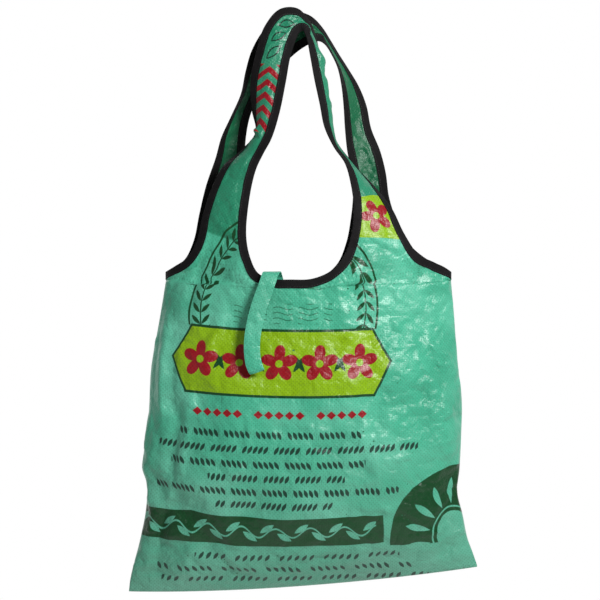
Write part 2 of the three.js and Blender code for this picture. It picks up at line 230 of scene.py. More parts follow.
# Creases that are spread by chance: how many each region has, and between which values they lie.
SEED = 11
CRUMPLE_COLUMNS = "count u1 u2 v1 v2 angle1 angle2 length1 length2 width1 width2 height1 height2"
FRONT_CRUMPLES = table(CRUMPLE_COLUMNS, [
    [60, -225, 225, -400, 100, -90, 90, 60, 150, 14, 30, 1.4, 4.2],
    [230, 50, 215, -330, 60, -55, 55, 16, 60, 3.5, 8, 0.84, 2.7],
    [60, -60, 80, -60, 4, -20, 20, 20, 60, 3, 6, 0.56, 1.4],
    [180, -225, 60, -400, -60, -60, 60, 20, 70, 4, 9, 0.56, 2],
    [14, -225, -150, -350, 0, 75, 105, 60, 160, 8, 16, 1.4, 3.6],
    [80, -225, 225, -410, -320, -40, 40, 20, 70, 4, 9, 0.7, 2.1],
    [130, -225, 225, -20, 150, -60, 60, 20, 60, 4, 9, 0.56, 2.1],
])
BACK_CRUMPLES = table(CRUMPLE_COLUMNS, [
    [80, -225, 225, -400, 100, -90, 90, 60, 150, 14, 30, 1.4, 4.2],
    [430, -225, 225, -410, 40, -60, 60, 16, 70, 3.5, 9, 0.56, 2.4],
    [130, -225, 225, -20, 150, -60, 60, 20, 60, 4, 9, 0.56, 2.1],
])
STRAP_CRUMPLES = table(CRUMPLE_COLUMNS, [
    [130, 0, 1000, -24, 24, 50, 130, 20, 60, 5, 10, 0.72, 2.4],
    [70, 0, 1000, -24, 24, -40, 40, 30, 90, 3, 6, 0.48, 1.4],
])
TAB_CRUMPLES = table(CRUMPLE_COLUMNS, [
    [26, -10, 10, -130, 0, -30, 30, 14, 40, 3, 9, 0.15, 0.5],
])
# The creases of the front that show best in the photo, as ridges, or troughs below zero.
CREASE_COLUMNS = "u v angle length width height"
FRONT_CREASES = table(CREASE_COLUMNS, [
    [78, -12, -83, 60, 6, 2.6],
    [136, -75, 4, 44, 6, 2.4],
    [162, -108, -59, 66, 6, 2.8],
    [120, -80, 26, 46, 5, -2.2],
    [180, -98, -66, 56, 6, 2.4],
    [178, -138, 66, 60, 6, -2.4],
    [-70, -185, 90, 56, 5, 2.2],
    [-188, -120, 92, 220, 16, 5],
    [-168, -250, 84, 200, 16, -5],
    [-120, -60, 78, 120, 12, 3.5],
    [90, -230, -70, 150, 12, 3.2],
])
# How round a crease's top is.
CREASE_TOP = 1.2
# How the creases fade out: in cells from a bound edge and from a side fold, and in rows below
# the shoulders, above the bottom and from the tab's ends.
STRAP_FADE_CELLS = 4
SIDE_FADE_CELLS = 8
TOP_FADE_ROWS = 10
BOTTOM_FADE_ROWS = 8
TAB_FADE_ROWS = 6
# Where a handle's own creases start, as a share of its shoulder.
BANDS_START = 0.5
# How far the bottom seam lies below the faces' last rows.
BOTTOM_ROUND = 1.5

# How far a printed line hangs down in the middle of the front, at the mouth and at the bottom.
SMILE_TOP = 15.0
SMILE_BOTTOM = 9.0
# The place along a handle that stands for no handle at all.
NOT_STRAP = np.array([-1000.0, 0])


# Vectors


def length(vectors):
    return np.linalg.norm(vectors, axis=-1, keepdims=True)


def unit(vectors):
    return vectors / np.maximum(length(vectors), 1e-9)


def dot(a, b):
    return (a * b).sum(-1, keepdims=True)


def flat_to(vectors, normals):
    """The vectors' directions once what runs along the normals is taken out."""
    return unit(vectors - dot(vectors, normals) * normals)


def turned(vectors, axes, degrees):
    """The vectors turned about unit axes."""
    angle = np.radians(degrees)[..., None]
    straight = dot(vectors, axes) * axes
    return vectors * np.cos(angle) + np.cross(axes, vectors) * np.sin(angle) + straight * (1 - np.cos(angle))


def mix(a, b, share):
    return a * (1 - share) + b * share


def smoothstep(value):
    t = np.clip(value, 0, 1)
    return t * t * (3 - 2 * t)


class Curve:
    """The smooth line through points, made of centripetal Catmull-Rom cubics."""

    STEP = 1e-4

    def __init__(self, points, closed):
        points = np.asarray(points, float)
        self.closed = closed
        if closed:
            self.spans = len(points)
            self.points = np.vstack([points[-1:], points, points[:2]])
        else:
            self.spans = len(points) - 1
            before = 2 * points[:1] - points[1:2]
            after = 2 * points[-1:] - points[-2:-1]
            self.points = np.vstack([before, points, after])

    def at(self, share):
        place = np.asarray(share, float) * self.spans
        if self.closed:
            place = place % self.spans
        first = np.clip(np.floor(place).astype(int), 0, self.spans - 1)
        t = (place - first)[..., None]
        a, b, c, d = (self.points[first + k] for k in range(4))
        ab, bc, cd = (np.sqrt(length(q - p)) for p, q in ((a, b), (b, c), (c, d)))
        leaving = bc * ((b - a) / ab - (c - a) / (ab + bc) + (c - b) / bc)
        arriving = bc * ((c - b) / bc - (d - b) / (bc + cd) + (d - c) / cd)
        rise = t * t * (3 - 2 * t)
        bend = leaving * t * (1 - t) ** 2 - arriving * t * t * (1 - t)
        return mix(b, c, rise) + bend

    def tangent(self, share):
        return unit(self.at(share + self.STEP) - self.at(share - self.STEP))


def sample(keys, values, at):
    """Smooth values from a table's column, by the cubics that pass through its rows."""
    slopes = np.empty(len(keys))
    slopes[1:-1] = (values[2:] - values[:-2]) / (keys[2:] - keys[:-2])
    slopes[0] = (values[1] - values[0]) / (keys[1] - keys[0])
    slopes[-1] = (values[-1] - values[-2]) / (keys[-1] - keys[-2])
    i = np.clip(np.searchsorted(keys, at, side="right") - 1, 0, len(keys) - 2)
    span = keys[i + 1] - keys[i]
    t = (at - keys[i]) / span
    rise = t * t * (3 - 2 * t)
    leaving = slopes[i] * span * t * (1 - t) ** 2
    arriving = slopes[i + 1] * span * t * t * (1 - t)
    return mix(values[i], values[i + 1], rise) + leaving - arriving


def bezier(start, leaving, arriving, end, cells):
    """Points along cubics, one cubic for each row of the arrays."""
    t = np.linspace(0, 1, cells + 1)[:, None]
    a, b, c, d = (p[..., None, :] for p in (start, start + leaving, end + arriving, end))
    return a * (1 - t) ** 3 + 3 * b * t * (1 - t) ** 2 + 3 * c * t * t * (1 - t) + d * t**3


# The sack's two faces


def columns(sections, name):
    return np.stack([sections[f"{name}_{axis}"] for axis in "xyz"], axis=-1)


OUTER_LINE = Curve(
    np.vstack([columns(FRONT_SECTIONS, "outer"), columns(BACK_SECTIONS, "outer")[-2:0:-1]]), closed=True
)
SECTION_SPANS = len(FRONT_SECTIONS["mouth_x"]) - 1
STATIONS = SECTION_SPANS * STEPS_PER_SECTION
BODY_CELLS = STRAP_CELLS * BODY_CELLS_EACH
SHOULDER_LINES = SHOULDER_SECTIONS * STEPS_PER_SECTION
SPREAD_ROUNDS = 200


class Face:
    """One face of the bag. out is -1 where the printed side faces -Y, and 1 where it faces Y."""

    def __init__(self, depth, sections, folds, crumples, out):
        self.depth, self.sections, self.folds = depth, sections, folds
        self.crumples, self.out = crumples, out
        self.mouth_line = Curve(columns(sections, "mouth")[:-1], closed=True)
        index = np.arange(STATIONS + 1)
        self.stations = self.make_stations(index, STRAP_CELLS)
        ends = self.make_stations(np.array([0, STATIONS]), BODY_CELLS)
        first = np.vstack([ends[0, 1:-1], ends[1, 1:-2][::-1]])
        self.rows = self.make_rows(first)
        self.moved = self.spread()

    def folded(self, points):
        """The points with the main folds, which fade out at the side folds."""
        lift = np.zeros(points.shape[:-1])
        for x1, z1, x2, z2, width, height in zip(*self.folds.values()):
            run_x, run_z = x2 - x1, z2 - z1
            x, z = points[..., 0] - x1, points[..., 2] - z1
            on = np.clip((x * run_x + z * run_z) / (run_x**2 + run_z**2), 0, 1)
            away = np.hypot(x - on * run_x, z - on * run_z)
            lift += height * np.exp(-((away / width) ** 2))
        share = np.clip((np.abs(points[..., 1]) - FOLDS_START) / FOLDS_FADE, 0, 1)
        return points + (self.out * lift * share)[..., None] * np.array([0, 1, 0])

    def make_stations(self, index, cells):
        """Points from the outer edge to the mouth's edge, with the tape's width at each end."""
        out = self.out
        section = index / STEPS_PER_SECTION
        share = section / SECTION_SPANS
        outer_share = share / 2 if out < 0 else 1 - share / 2
        outer = OUTER_LINE.at(outer_share)
        outer_tangent = -out * OUTER_LINE.tangent(outer_share)
        mouth = self.mouth_line.at(share)
        mouth_tangent = self.mouth_line.tangent(share)
        from_end = np.minimum(section, SECTION_SPANS - section) / SHOULDER_SECTIONS
        strap = smoothstep(from_end)[:, None]

        def normals(tangents, turns, plain):
            straight = unit(-out * np.cross(mouth - outer, tangents))
            return flat_to(mix(plain, turned(straight, tangents, turns), strap), tangents)

        rows = np.arange(SECTION_SPANS + 1)
        outer_turn = sample(rows, self.sections["outer_turn"], section)
        mouth_turn = sample(rows, self.sections["mouth_turn"], section)
        aside = 1 - np.minimum(1, from_end)
        sideways = np.where(section < SECTION_SPANS / 2, -1, 1)
        plain_outer = unit(np.stack([sideways * aside, out * (1 - aside), 0 * aside], axis=-1))
        plain_mouth = np.zeros_like(mouth) + np.array([0, out, 0])
        outer_normal = normals(outer_tangent, out * outer_turn, plain_outer)
        mouth_normal = normals(mouth_tangent, -out * mouth_turn, plain_mouth)

        outer_tip = outer - out * BAND_WIDTH * np.cross(outer_tangent, outer_normal)
        mouth_tip = mouth - out * BAND_WIDTH * np.cross(mouth_normal, mouth_tangent)
        across = mouth_tip - outer_tip
        width = length(across)
        side_handle = SIDE_ROUND * np.abs(across[:, 1:2]) + SIDE_ROUND_LEAST
        outer_handle = mix(side_handle, STRAP_EASE * width, strap)
        mouth_handle = mix(FACE_EASE, STRAP_EASE, strap) * width
        leaving = flat_to(across, outer_normal) * outer_handle
        arriving = flat_to(-across, mouth_normal) * mouth_handle
        line = bezier(outer_tip, leaving, arriving, mouth_tip, cells)
        return self.folded(np.concatenate([outer[:, None], line, mouth[:, None]], axis=1))

    def spread(self):
        """Spreads the shoulders' crowded lines, and returns how far each strap point moved."""
        before = self.stations.copy()
        for half in (self.stations, self.stations[::-1]):
            grid = half[: SHOULDER_LINES + 1]
            for _ in range(SPREAD_ROUNDS):
                around = grid[:-2, 2:-2] + grid[2:, 2:-2] + grid[1:-1, 1:-3] + grid[1:-1, 3:-1]
                grid[1:-1, 2:-2] = around / 4
        return self.stations - before

    def make_rows(self, first):
        """Rows of points across the face, from the left side fold to the right one."""
        out = self.out
        down = np.arange(1, BODY_ROWS + 1) / BODY_ROWS
        left_x, right_x, depth = (
            sample(BODY_SECTIONS["down"], BODY_SECTIONS[name], down)
            for name in ("left", "right", self.depth)
        )
        middle_top = first[BODY_CELLS, 2]

        def place(x, y, top, bottom):
            return np.stack([x, y, mix(top, bottom, down)], axis=-1)

        left = place(left_x, 0 * down, SIDE_TOP, LEFT_CORNER_HEIGHT)
        right = place(right_x, 0 * down, SIDE_TOP, RIGHT_CORNER_HEIGHT)
        middle = place(BODY_MIDDLE + 0 * down, out * depth, middle_top, BOTTOM_MIDDLE_HEIGHT)
        side_handle = (SIDE_ROUND * depth + SIDE_ROUND_LEAST)[:, None] * np.array([0, out, 0])
        tilt = unit(right - left)
        to_left = -tilt * FACE_EASE * length(middle - left)
        to_right = tilt * FACE_EASE * length(middle - right)
        left_half = bezier(left, side_handle, to_left, middle, BODY_CELLS)
        right_half = bezier(right, side_handle, to_right, middle, BODY_CELLS)
        rows = self.folded(np.concatenate([left_half, right_half[:, -2::-1]], axis=1))
        return np.concatenate([first[None], rows])


front = Face("front", FRONT_SECTIONS, FRONT_FOLDS, FRONT_CRUMPLES, -1)
back = Face("back", BACK_SECTIONS, BACK_FOLDS, BACK_CRUMPLES, 1)


# Places on the flat cloth


def running(points):
    """How far along each line of points, from its first one."""
    steps = length(np.diff(points, axis=-2))[..., 0]
    start = np.zeros(steps.shape[:-1] + (1,))
    return np.concatenate([start, np.cumsum(steps, axis=-1)], axis=-1)


def flat_rows(face):
    """Each body point's place across and up the flat cloth, from the middle of the first row."""
    across = running(face.rows)
    share = across / across[:, -1:]
    u = (share - 0.5) * SACK_WIDTH
    down = running(face.rows.transpose(1, 0, 2)).T
    smile = mix(SMILE_TOP, SMILE_BOTTOM, np.linspace(0, 1, BODY_ROWS + 1))[:, None]
    v = face.rows[0, :, 2] - SIDE_TOP - down + smile * (1 - (2 * share - 1) ** 2)
    return np.stack([-face.out * u, v], axis=-1)


def meet(p, q, from_p, from_q, side):
    """The point at these two distances from p and q, on one side of the line between them."""
    base = q - p
    reach = np.hypot(*base)
    base = base / reach
    ahead = (from_p**2 - from_q**2 + reach**2) / (2 * reach)
    off = math.sqrt(max(from_p**2 - ahead**2, 0))
    return p + base * ahead + side * off * np.array([-base[1], base[0]])


def flat_half(face, first_row, start, step):
    """Each point's place on the flat cloth, unrolled from one end of the handle to its top."""
    outer, mouth = face.stations[:, 0], face.stations[:, -1]
    share = running(face.stations)
    # What the cloth's bend adds to its straight width, squared.
    bend = share[:, -1] ** 2 - ((outer - mouth) ** 2).sum(axis=1)
    share = (share / share[:, -1:])[..., None]
    edge = np.array([0, BAND_WIDTH])
    flat_outer, flat_mouth = first_row[0] + edge, first_row[-1] + edge
    bent = np.vstack([flat_outer, first_row, flat_mouth]) - mix(flat_outer, flat_mouth, share[start])
    side = -face.out * step
    places = []
    for count in range(STATIONS // 2 + 1):
        i = start + step * count
        if count > 0:
            k = i - step
            along_outer, along_mouth = math.dist(outer[i], outer[k]), math.dist(mouth[i], mouth[k])
            slanting = math.sqrt(math.dist(outer[i], mouth[k]) ** 2 + (bend[i] + bend[k]) / 2)
            across = math.sqrt(math.dist(outer[i], mouth[i]) ** 2 + bend[i])
            flat_outer = meet(flat_outer, flat_mouth, along_outer, slanting, side)
            flat_mouth = meet(flat_outer, flat_mouth, across, along_mouth, side)
        fading = max(0.0, 1 - count / SHOULDER_LINES)
        moved = face.moved[i][:, [0, 2]] * np.array([-face.out, 1])
        places.append(mix(flat_outer, flat_mouth, share[i]) + bent * fading + moved)
    return np.array(places[::step])


def strap_places(face):
    """How far each strap point is along the handle, and how far off its middle line."""
    middle = (face.stations[:, 0] + face.stations[:, -1]) / 2
    along = running(middle)[:, None]
    across = running(face.stations)
    return np.stack([along + 0 * across, across - across[:, -1:] / 2], axis=-1)


# Creases


def random_creases(rng, regions):
    """A table of creases by chance: each region's count, between its lowest and highest values."""
    counts = regions["count"].astype(int)
    creases = {}
    for name in CREASE_COLUMNS.split():
        low, high = (np.repeat(regions[f"{name}{end}"], counts) for end in (1, 2))
        creases[name] = rng.uniform(low, high)
    creases["height"] *= rng.choice([-1, 1], counts.sum())
    return creases


def creased(places, creases):
    """How far the creases lift the cloth at these places. Each is a soft-topped tent."""
    lift = np.zeros(places.shape[:-1])
    for u, v, angle, size, width, height in zip(*creases.values()):
        cos, sin = math.cos(math.radians(angle)), math.sin(math.radians(angle))
        x, y = places[..., 0] - u, places[..., 1] - v
        ends = np.clip(1 - ((x * cos + y * sin) / (size / 2)) ** 2, 0, 1)
        slope = np.clip(1 - np.hypot(y * cos - x * sin, CREASE_TOP) / width, 0, 1)
        lift += height * ends * slope
    return lift


# The sack's middle surface

CORNERS_KEPT = 0.01
LEAST_PULL = 0.01
LEVEL_ROUNDS = 400
SOFT_ROUNDS = 60


class Sheet:
    """Shared points, and faces whose corners know their places on the flat cloth."""

    def __init__(self, grids):
        points = np.vstack([grid.reshape(-1, 3) for grid in grids])
        keys = np.round(points / CORNERS_KEPT).astype(int)
        _, first, inverse = np.unique(keys, axis=0, return_index=True, return_inverse=True)
        self.points = points[first]
        sizes = [grid.shape[0] * grid.shape[1] for grid in grids]
        parts = np.split(inverse.ravel(), np.cumsum(sizes)[:-1])
        self.ids = [part.reshape(grid.shape[:2]) for part, grid in zip(parts, grids)]
        self.quads, self.quad_places = [], []
        self.fans, self.fan_places = [], []

    def add_grid(self, ids, places, turn):
        """Quads between the lines of a grid. places holds each point's places, one after another."""
        corners = [np.s_[:-1, :-1], np.s_[:-1, 1:], np.s_[1:, 1:], np.s_[1:, :-1]]
        if turn:
            corners = [corners[k] for k in (0, 3, 2, 1)]
        self.quads.append(np.stack([ids[c] for c in corners], axis=-1).reshape(-1, 4))
        shape = (-1, 4, places.shape[-1])
        self.quad_places.append(np.stack([places[c] for c in corners], axis=-2).reshape(shape))

    def add_fan(self, ids, places, turn):
        """One face with any number of corners."""
        self.fans.append(list(ids[::-1] if turn else ids))
        self.fan_places.append(places[::-1] if turn else places)

    def close(self):
        self.quads = np.vstack(self.quads)
        self.quad_places = np.vstack(self.quad_places)

    def normals(self):
        total = np.zeros_like(self.points)
        faces = [(self.quads, self.points[self.quads])]
        faces += [(np.array([fan]), self.points[[fan]]) for fan in self.fans]
        for ids, corners in faces:
            count = ids.shape[1]
            area = sum(np.cross(corners[:, k], corners[:, (k + 1) % count]) for k in range(count))
            for k in range(count):
                np.add.at(total, ids[:, k], area)
        return unit(total)

    def edges(self):
        sides = [self.quads[:, [k, (k + 1) % 4]] for k in range(4)]
        return np.vstack(sides + [np.stack([fan, np.roll(fan, -1)], axis=1) for fan in self.fans])

    def rim(self):
        """The edges that only one face has, in the direction in which it has them."""
        lone = {}
        for a, b in self.edges().tolist():
            if lone.pop((b, a), None) is None:
                lone[(a, b)] = True
        return list(lone)

    def pulls(self):
        """Each triangle's edges, both ways, and how strongly they pull their ends to one depth."""
        triangles = [self.quads[:, [0, 1, 2]], self.quads[:, [0, 2, 3]]]
        for fan in self.fans:
            triangles.append([[fan[0], fan[k], fan[k + 1]] for k in range(1, len(fan) - 1)])
        triangles = np.vstack(triangles)
        here, there, pull = [], [], []
        for k in range(3):
            apex, start, end = np.roll(triangles, -k, axis=1).T
            to_start, to_end = (self.points[ids] - self.points[apex] for ids in (start, end))
            area = length(np.cross(to_start, to_end))
            cotangent = (dot(to_start, to_end) / np.maximum(area, CORNERS_KEPT))[:, 0]
            here += [start, end]
            there += [end, start]
            pull += [np.maximum(cotangent, LEAST_PULL)] * 2
        return np.concatenate(here), np.concatenate(there), np.concatenate(pull)

    def level(self, loose):
        """Moves the loose points in depth until the cloth is taut between all the others."""
        here, there, pull = self.pulls()
        depth = self.points[:, 1]
        count = len(depth)
        total = np.bincount(here, weights=pull, minlength=count)

        def unbalanced(values):
            around = np.bincount(here, weights=pull * values[there], minlength=count)
            return (total * values - around) * loose

        # Conjugate gradients, each point's share scaled by how strongly it is held.
        left = -unbalanced(depth)
        step = left / total
        size = (left * step).sum()
        for _ in range(LEVEL_ROUNDS):
            change = unbalanced(step)
            reach = size / (step * change).sum()
            depth += reach * step
            left -= reach * change
            following = (left * left / total).sum()
            step = left / total + following / size * step
            size = following

    def soften(self, loose, rounds):
        """Evens out the loose points' depths a little, so that no sharp bend is left."""
        here, there, pull = self.pulls()
        depth = self.points[:, 1]
        total = np.bincount(here, weights=pull, minlength=len(depth))
        for _ in range(rounds):
            around = np.bincount(here, weights=pull * depth[there], minlength=len(depth)) / total
            depth[loose] = mix(depth, around, 0.5)[loose]


def cells_in(count):
    """How many cells each point of a line is away from the line's nearer end."""
    index = np.arange(count)
    return np.minimum(index, count - 1 - index)


def add_half(sheet, ids, places, line, first, turn):
    """Half of a handle, and the faces that join it to line, the finer first row of the body.

    first says whether the handle's points start at the body, or end there.
    """
    kept = slice(1, None) if first else slice(0, -1)
    sheet.add_grid(ids[kept], places[kept], turn)
    end, inner = (0, 1) if first else (-1, -2)
    for k in range(STRAP_CELLS + 2):
        if k in (0, STRAP_CELLS + 1):
            fine = [ids[end, k], ids[end, k + 1]]
        else:
            fine = line[(k - 1) * BODY_CELLS_EACH : k * BODY_CELLS_EACH + 1].tolist()
        share = np.linspace(0, 1, len(fine))[:, None]
        fine_places = mix(places[end, k], places[end, k + 1], share)
        corners = [ids[inner, k], *fine, ids[inner, k + 1]]
        corner_places = np.vstack([places[inner, k], fine_places, places[inner, k + 1]])
        sheet.add_fan(corners, corner_places, turn == first)


def crease_fades():
    """How much of the creases is left across a handle, and over the rows of a face."""
    cell_fade = smoothstep(cells_in(STRAP_CELLS + 1) / STRAP_FADE_CELLS)
    # The first row runs below both ends of a handle, in finer cells.
    below_ends = np.concatenate([cell_fade, cell_fade[-2::-1]])
    place = np.arange(2 * BODY_CELLS + 1) / BODY_CELLS_EACH
    first_fade = np.interp(place, np.arange(2 * STRAP_CELLS + 1), below_ends)
    side_fade = smoothstep(cells_in(2 * BODY_CELLS + 1) / SIDE_FADE_CELLS)
    row = np.arange(BODY_ROWS + 1)[:, None]
    row_fade = mix(first_fade, side_fade, smoothstep(row / TOP_FADE_ROWS))
    row_fade = row_fade * smoothstep((BODY_ROWS - row) / BOTTOM_FADE_ROWS)
    return np.concatenate([[0], cell_fade, [0]]), row_fade


def make_sack():
    """The whole sack as one sheet, with its creases."""
    faces = (front, back)
    grids = [grid for face in faces for grid in (face.stations, face.rows)]
    bottom = (front.rows[-1] + back.rows[-1]) / 2 - np.array([0, 0, BOTTOM_ROUND])
    sheet = Sheet([*grids, bottom[None]])
    loose = np.zeros(len(sheet.points), bool)
    soft = np.zeros(len(sheet.points), bool)
    lift = np.zeros(len(sheet.points))
    rng = np.random.default_rng(SEED)
    strap_fade, row_fade = crease_fades()
    middle = STATIONS // 2

    for number, face in enumerate(faces):
        strap_ids, row_ids = sheet.ids[2 * number], sheet.ids[2 * number + 1]
        turn = face.out > 0
        flat = flat_rows(face)
        first_row = flat[0, ::BODY_CELLS_EACH]
        left = flat_half(face, first_row[: STRAP_CELLS + 1], 0, 1)
        right = flat_half(face, first_row[::-1][: STRAP_CELLS + 1], STATIONS, -1)
        strap = strap_places(face)
        up, down = slice(0, middle + 1), slice(middle, STATIONS + 1)
        for part, places, line in ((up, left, row_ids[0]), (down, right, row_ids[0, ::-1])):
            both = np.concatenate([places, strap[part]], axis=-1)
            add_half(sheet, strap_ids[part], both, line, part is up, turn)
        sheet.add_grid(row_ids, np.concatenate([flat, NOT_STRAP + 0 * flat], axis=-1), not turn)

        for chosen, times in ((loose, 1), (soft, 2)):
            lines = times * SHOULDER_LINES
            chosen[strap_ids[:lines, 2:-2]] = True
            chosen[strap_ids[-lines:, 2:-2]] = True
            chosen[row_ids[: times * int(BODY_ROWS * SHOULDER_SHARE), 1:-1]] = True
            chosen[row_ids[0, BODY_CELLS]] = False

        small = random_creases(rng, face.crumples)
        bands = random_creases(rng, STRAP_CRUMPLES)
        if face is front:
            small = {name: np.append(small[name], FRONT_CREASES[name]) for name in small}
        whole = np.concatenate([left, right[1:]])
        in_strap = smoothstep(cells_in(STATIONS + 1) / SHOULDER_LINES - BANDS_START)[:, None]
        lift[strap_ids] = mix(creased(whole, small), creased(strap, bands), in_strap) * strap_fade
        lift[row_ids] = creased(flat, small) * row_fade

    seam_lines = np.stack([sheet.ids[1][-1], sheet.ids[4][0], sheet.ids[3][-1]])
    seam = flat_rows(front)[-1]
    seam = np.concatenate([seam, NOT_STRAP + 0 * seam], axis=-1)
    sheet.add_grid(seam_lines, np.stack([seam] * len(seam_lines)), True)
    sheet.close()
    sheet.level(loose)
    sheet.soften(soft, SOFT_ROUNDS)
    sheet.points += sheet.normals() * lift[:, None]
    return sheet


# Meshes

SHARP_ANGLE = math.radians(55)


def add_piece(name, points, faces, materials, layers=(), skins=None):
    """A mesh from points in millimetres. layers holds a name and each face corner's two numbers."""
    mesh = bpy.data.meshes.new(name)
    mesh.from_pydata((points * MM).tolist(), [], faces)
    for layer_name, corners in layers:
        layer = mesh.uv_layers.new(name=layer_name)
        layer.uv.foreach_set("vector", (corners * MM).astype(np.float32).ravel())
    for material in materials:
        mesh.materials.append(material)
    if skins is not None:
        mesh.polygons.foreach_set("material_index", skins)
    mesh.shade_smooth()
    mesh.set_sharp_from_angle(angle=SHARP_ANGLE)
    mesh.update()
    piece = bpy.data.objects.new(name, mesh)
    bpy.context.scene.collection.objects.link(piece)
    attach(piece, "root")
    return piece


def add_cloth(name, sheet, thickness, materials):
    """The sheet with its thickness: an outer skin, an inner skin, and closed rims."""
    normals = sheet.normals()
    count = len(sheet.points)
    points = np.vstack([sheet.points + normals * thickness / 2, sheet.points - normals * thickness / 2])
    outer = sheet.quads.tolist() + sheet.fans
    places = [*sheet.quad_places, *sheet.fan_places]
    inner = [[i + count for i in reversed(face)] for face in outer]
    rims = [[b, a, a + count, b + count] for a, b in sheet.rim()]
    rim_places = np.zeros((4 * len(rims), places[0].shape[-1])) + np.array([0, 0, *NOT_STRAP])
    corners = np.vstack([*places, *(place[::-1] for place in places), rim_places])
    skins = [0] * len(outer) + [1] * len(inner) + [0] * len(rims)
    layers = (("flat", corners[:, :2]), ("strap", corners[:, 2:]))
    return add_piece(name, points, outer + inner + rims, materials, layers, skins)


def ring_faces(ids):
    """Quads between the rings of a closed tube. ids holds one ring of point numbers in each row."""
    following = np.roll(ids, -1, axis=0)
    corners = [ids, np.roll(ids, -1, axis=1), np.roll(following, -1, axis=1), following]
    return np.stack(corners, axis=-1).reshape(-1, 4)


def facing_out(points, quads):
    """The closed mesh's quads, turned over if they face inwards."""
    a, b, c, d = (points[quads[:, k]] for k in range(4))
    volume = (a * np.cross(b, c)).sum() + (a * np.cross(c, d)).sum()
    return quads if volume > 0 else quads[:, ::-1]


# Folded tape and its stitches

# How far the tape's two skins are from the middle of the cloth.
TAPE_NEAR = CLOTH_THICKNESS / 2 + SEWN_GAP
TAPE_FAR = TAPE_NEAR + TAPE_THICKNESS
LEG_STEPS = 4
FOLD_STEPS = 7
PUCKER = 0.35
PUCKER_PITCH = 9.0
STITCH_PITCH = 3.2
STITCH_LENGTH = 2.5
STITCH_RADIUS = 0.23
STITCH_INSET = 1.9
STITCH_SIDES = 6
# A stitch's rings: how far along it, how thick, and how deep in the tape, as shares of its size.
STITCH_RINGS = ((0, 0.3, 0.7), (0.2, 1, 0.1), (0.8, 1, 0.1), (1, 0.3, 0.7))


def wavering(rng, distance, pitch):
    """Smooth chance values from -1 to 1 along a closed line."""
    count = max(4, int(distance[-1] / pitch))
    knots = rng.uniform(-1, 1, count)
    place = distance / distance[-1] * count
    first = np.floor(place).astype(int)
    return mix(knots[first % count], knots[(first + 1) % count], smoothstep(place - first))


def tape_lines(sheet, edges, band_ends, rng):
    """Along the sewn edge: the edge, the ends of the tape's legs, and the cloth's normals there."""
    normals = sheet.normals()
    edge, end = sheet.points[edges], sheet.points[band_ends]
    distance = running(np.vstack([edge, edge[:1]]))[:-1]
    reach = TAPE_WIDTH / BAND_WIDTH + PUCKER / BAND_WIDTH * wavering(rng, distance, PUCKER_PITCH)
    reach = reach[:, None]
    tip_normal = unit(mix(normals[edges], normals[band_ends], reach))
    return edge, mix(edge, end, reach), normals[edges], tip_normal, distance


def add_tape(name, lines, material, node):
    """A tape folded over a sewn edge: its outer skin from one leg to the other, and back inside."""
    edge, tip, edge_normal, tip_normal, distance = lines
    outward = unit(edge - tip)
    rings = []

    def leg(height, shares):
        for share in shares:
            normal = unit(mix(tip_normal, edge_normal, share))
            rings.append(mix(tip, edge, share) + normal * height)

    def fold(height, angles):
        for angle in angles:
            rings.append(edge + height * (outward * math.sin(angle) + edge_normal * math.cos(angle)))

    shares = np.linspace(0, 1, LEG_STEPS + 1)
    angles = np.linspace(0, math.pi, FOLD_STEPS + 1)
    leg(TAPE_FAR, shares)
    fold(TAPE_FAR, angles[1:-1])
    leg(-TAPE_FAR, shares[::-1])
    leg(-TAPE_NEAR, shares)
    fold(TAPE_NEAR, angles[-2:0:-1])
    leg(TAPE_NEAR, shares[::-1])
    rings = np.stack(rings, axis=1)
    ids = np.arange(rings.shape[0] * rings.shape[1]).reshape(rings.shape[:2])
    points = rings.reshape(-1, 3)
    quads = facing_out(points, ring_faces(ids))
    girth = running(rings[:1])[0]
    across = np.concatenate([girth, girth[-1:] + 2 * TAPE_THICKNESS])
    along = np.concatenate([distance, distance[-1:] + length(edge[:1] - edge[-1:])[0]])
    station, corner = np.divmod(quads, rings.shape[1])
    last_cell = (station == 0) & (station.max(1, keepdims=True) == len(edge) - 1)
    last_side = (corner == 0) & (corner.max(1, keepdims=True) == rings.shape[1] - 1)
    corners = np.stack([
        along[np.where(last_cell, len(edge), station)],
        across[np.where(last_side, rings.shape[1], corner)],
    ], axis=-1)
    piece = add_piece(name, points, quads.tolist(), [material], (("tape", corners.reshape(-1, 2)),))
    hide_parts(node)
    return piece


def stitch_rings(row, normal):
    """The points round each stitch of a closed row, counted by stitch, ring and corner."""
    row, normal = (np.vstack([values, values[:1]]) for values in (row, normal))
    distance = running(row)

    def along(values, at):
        return np.stack([np.interp(at, distance, values[:, k]) for k in range(3)], axis=-1)

    starts = np.arange(0, distance[-1] - STITCH_LENGTH, STITCH_PITCH)
    angles = np.arange(STITCH_SIDES)[:, None] * 2 * math.pi / STITCH_SIDES
    rings = []
    for share, girth, dip in STITCH_RINGS:
        at = starts + share * STITCH_LENGTH
        ahead = unit(along(row, at + STITCH_RADIUS) - along(row, at - STITCH_RADIUS))
        up = flat_to(along(normal, at), ahead)[:, None]
        aside = np.cross(ahead[:, None], up)
        ring = girth * (up * np.cos(angles) + aside * np.sin(angles)) - dip * up
        rings.append(along(row, at)[:, None] + STITCH_RADIUS * ring)
    return np.stack(rings, axis=1)


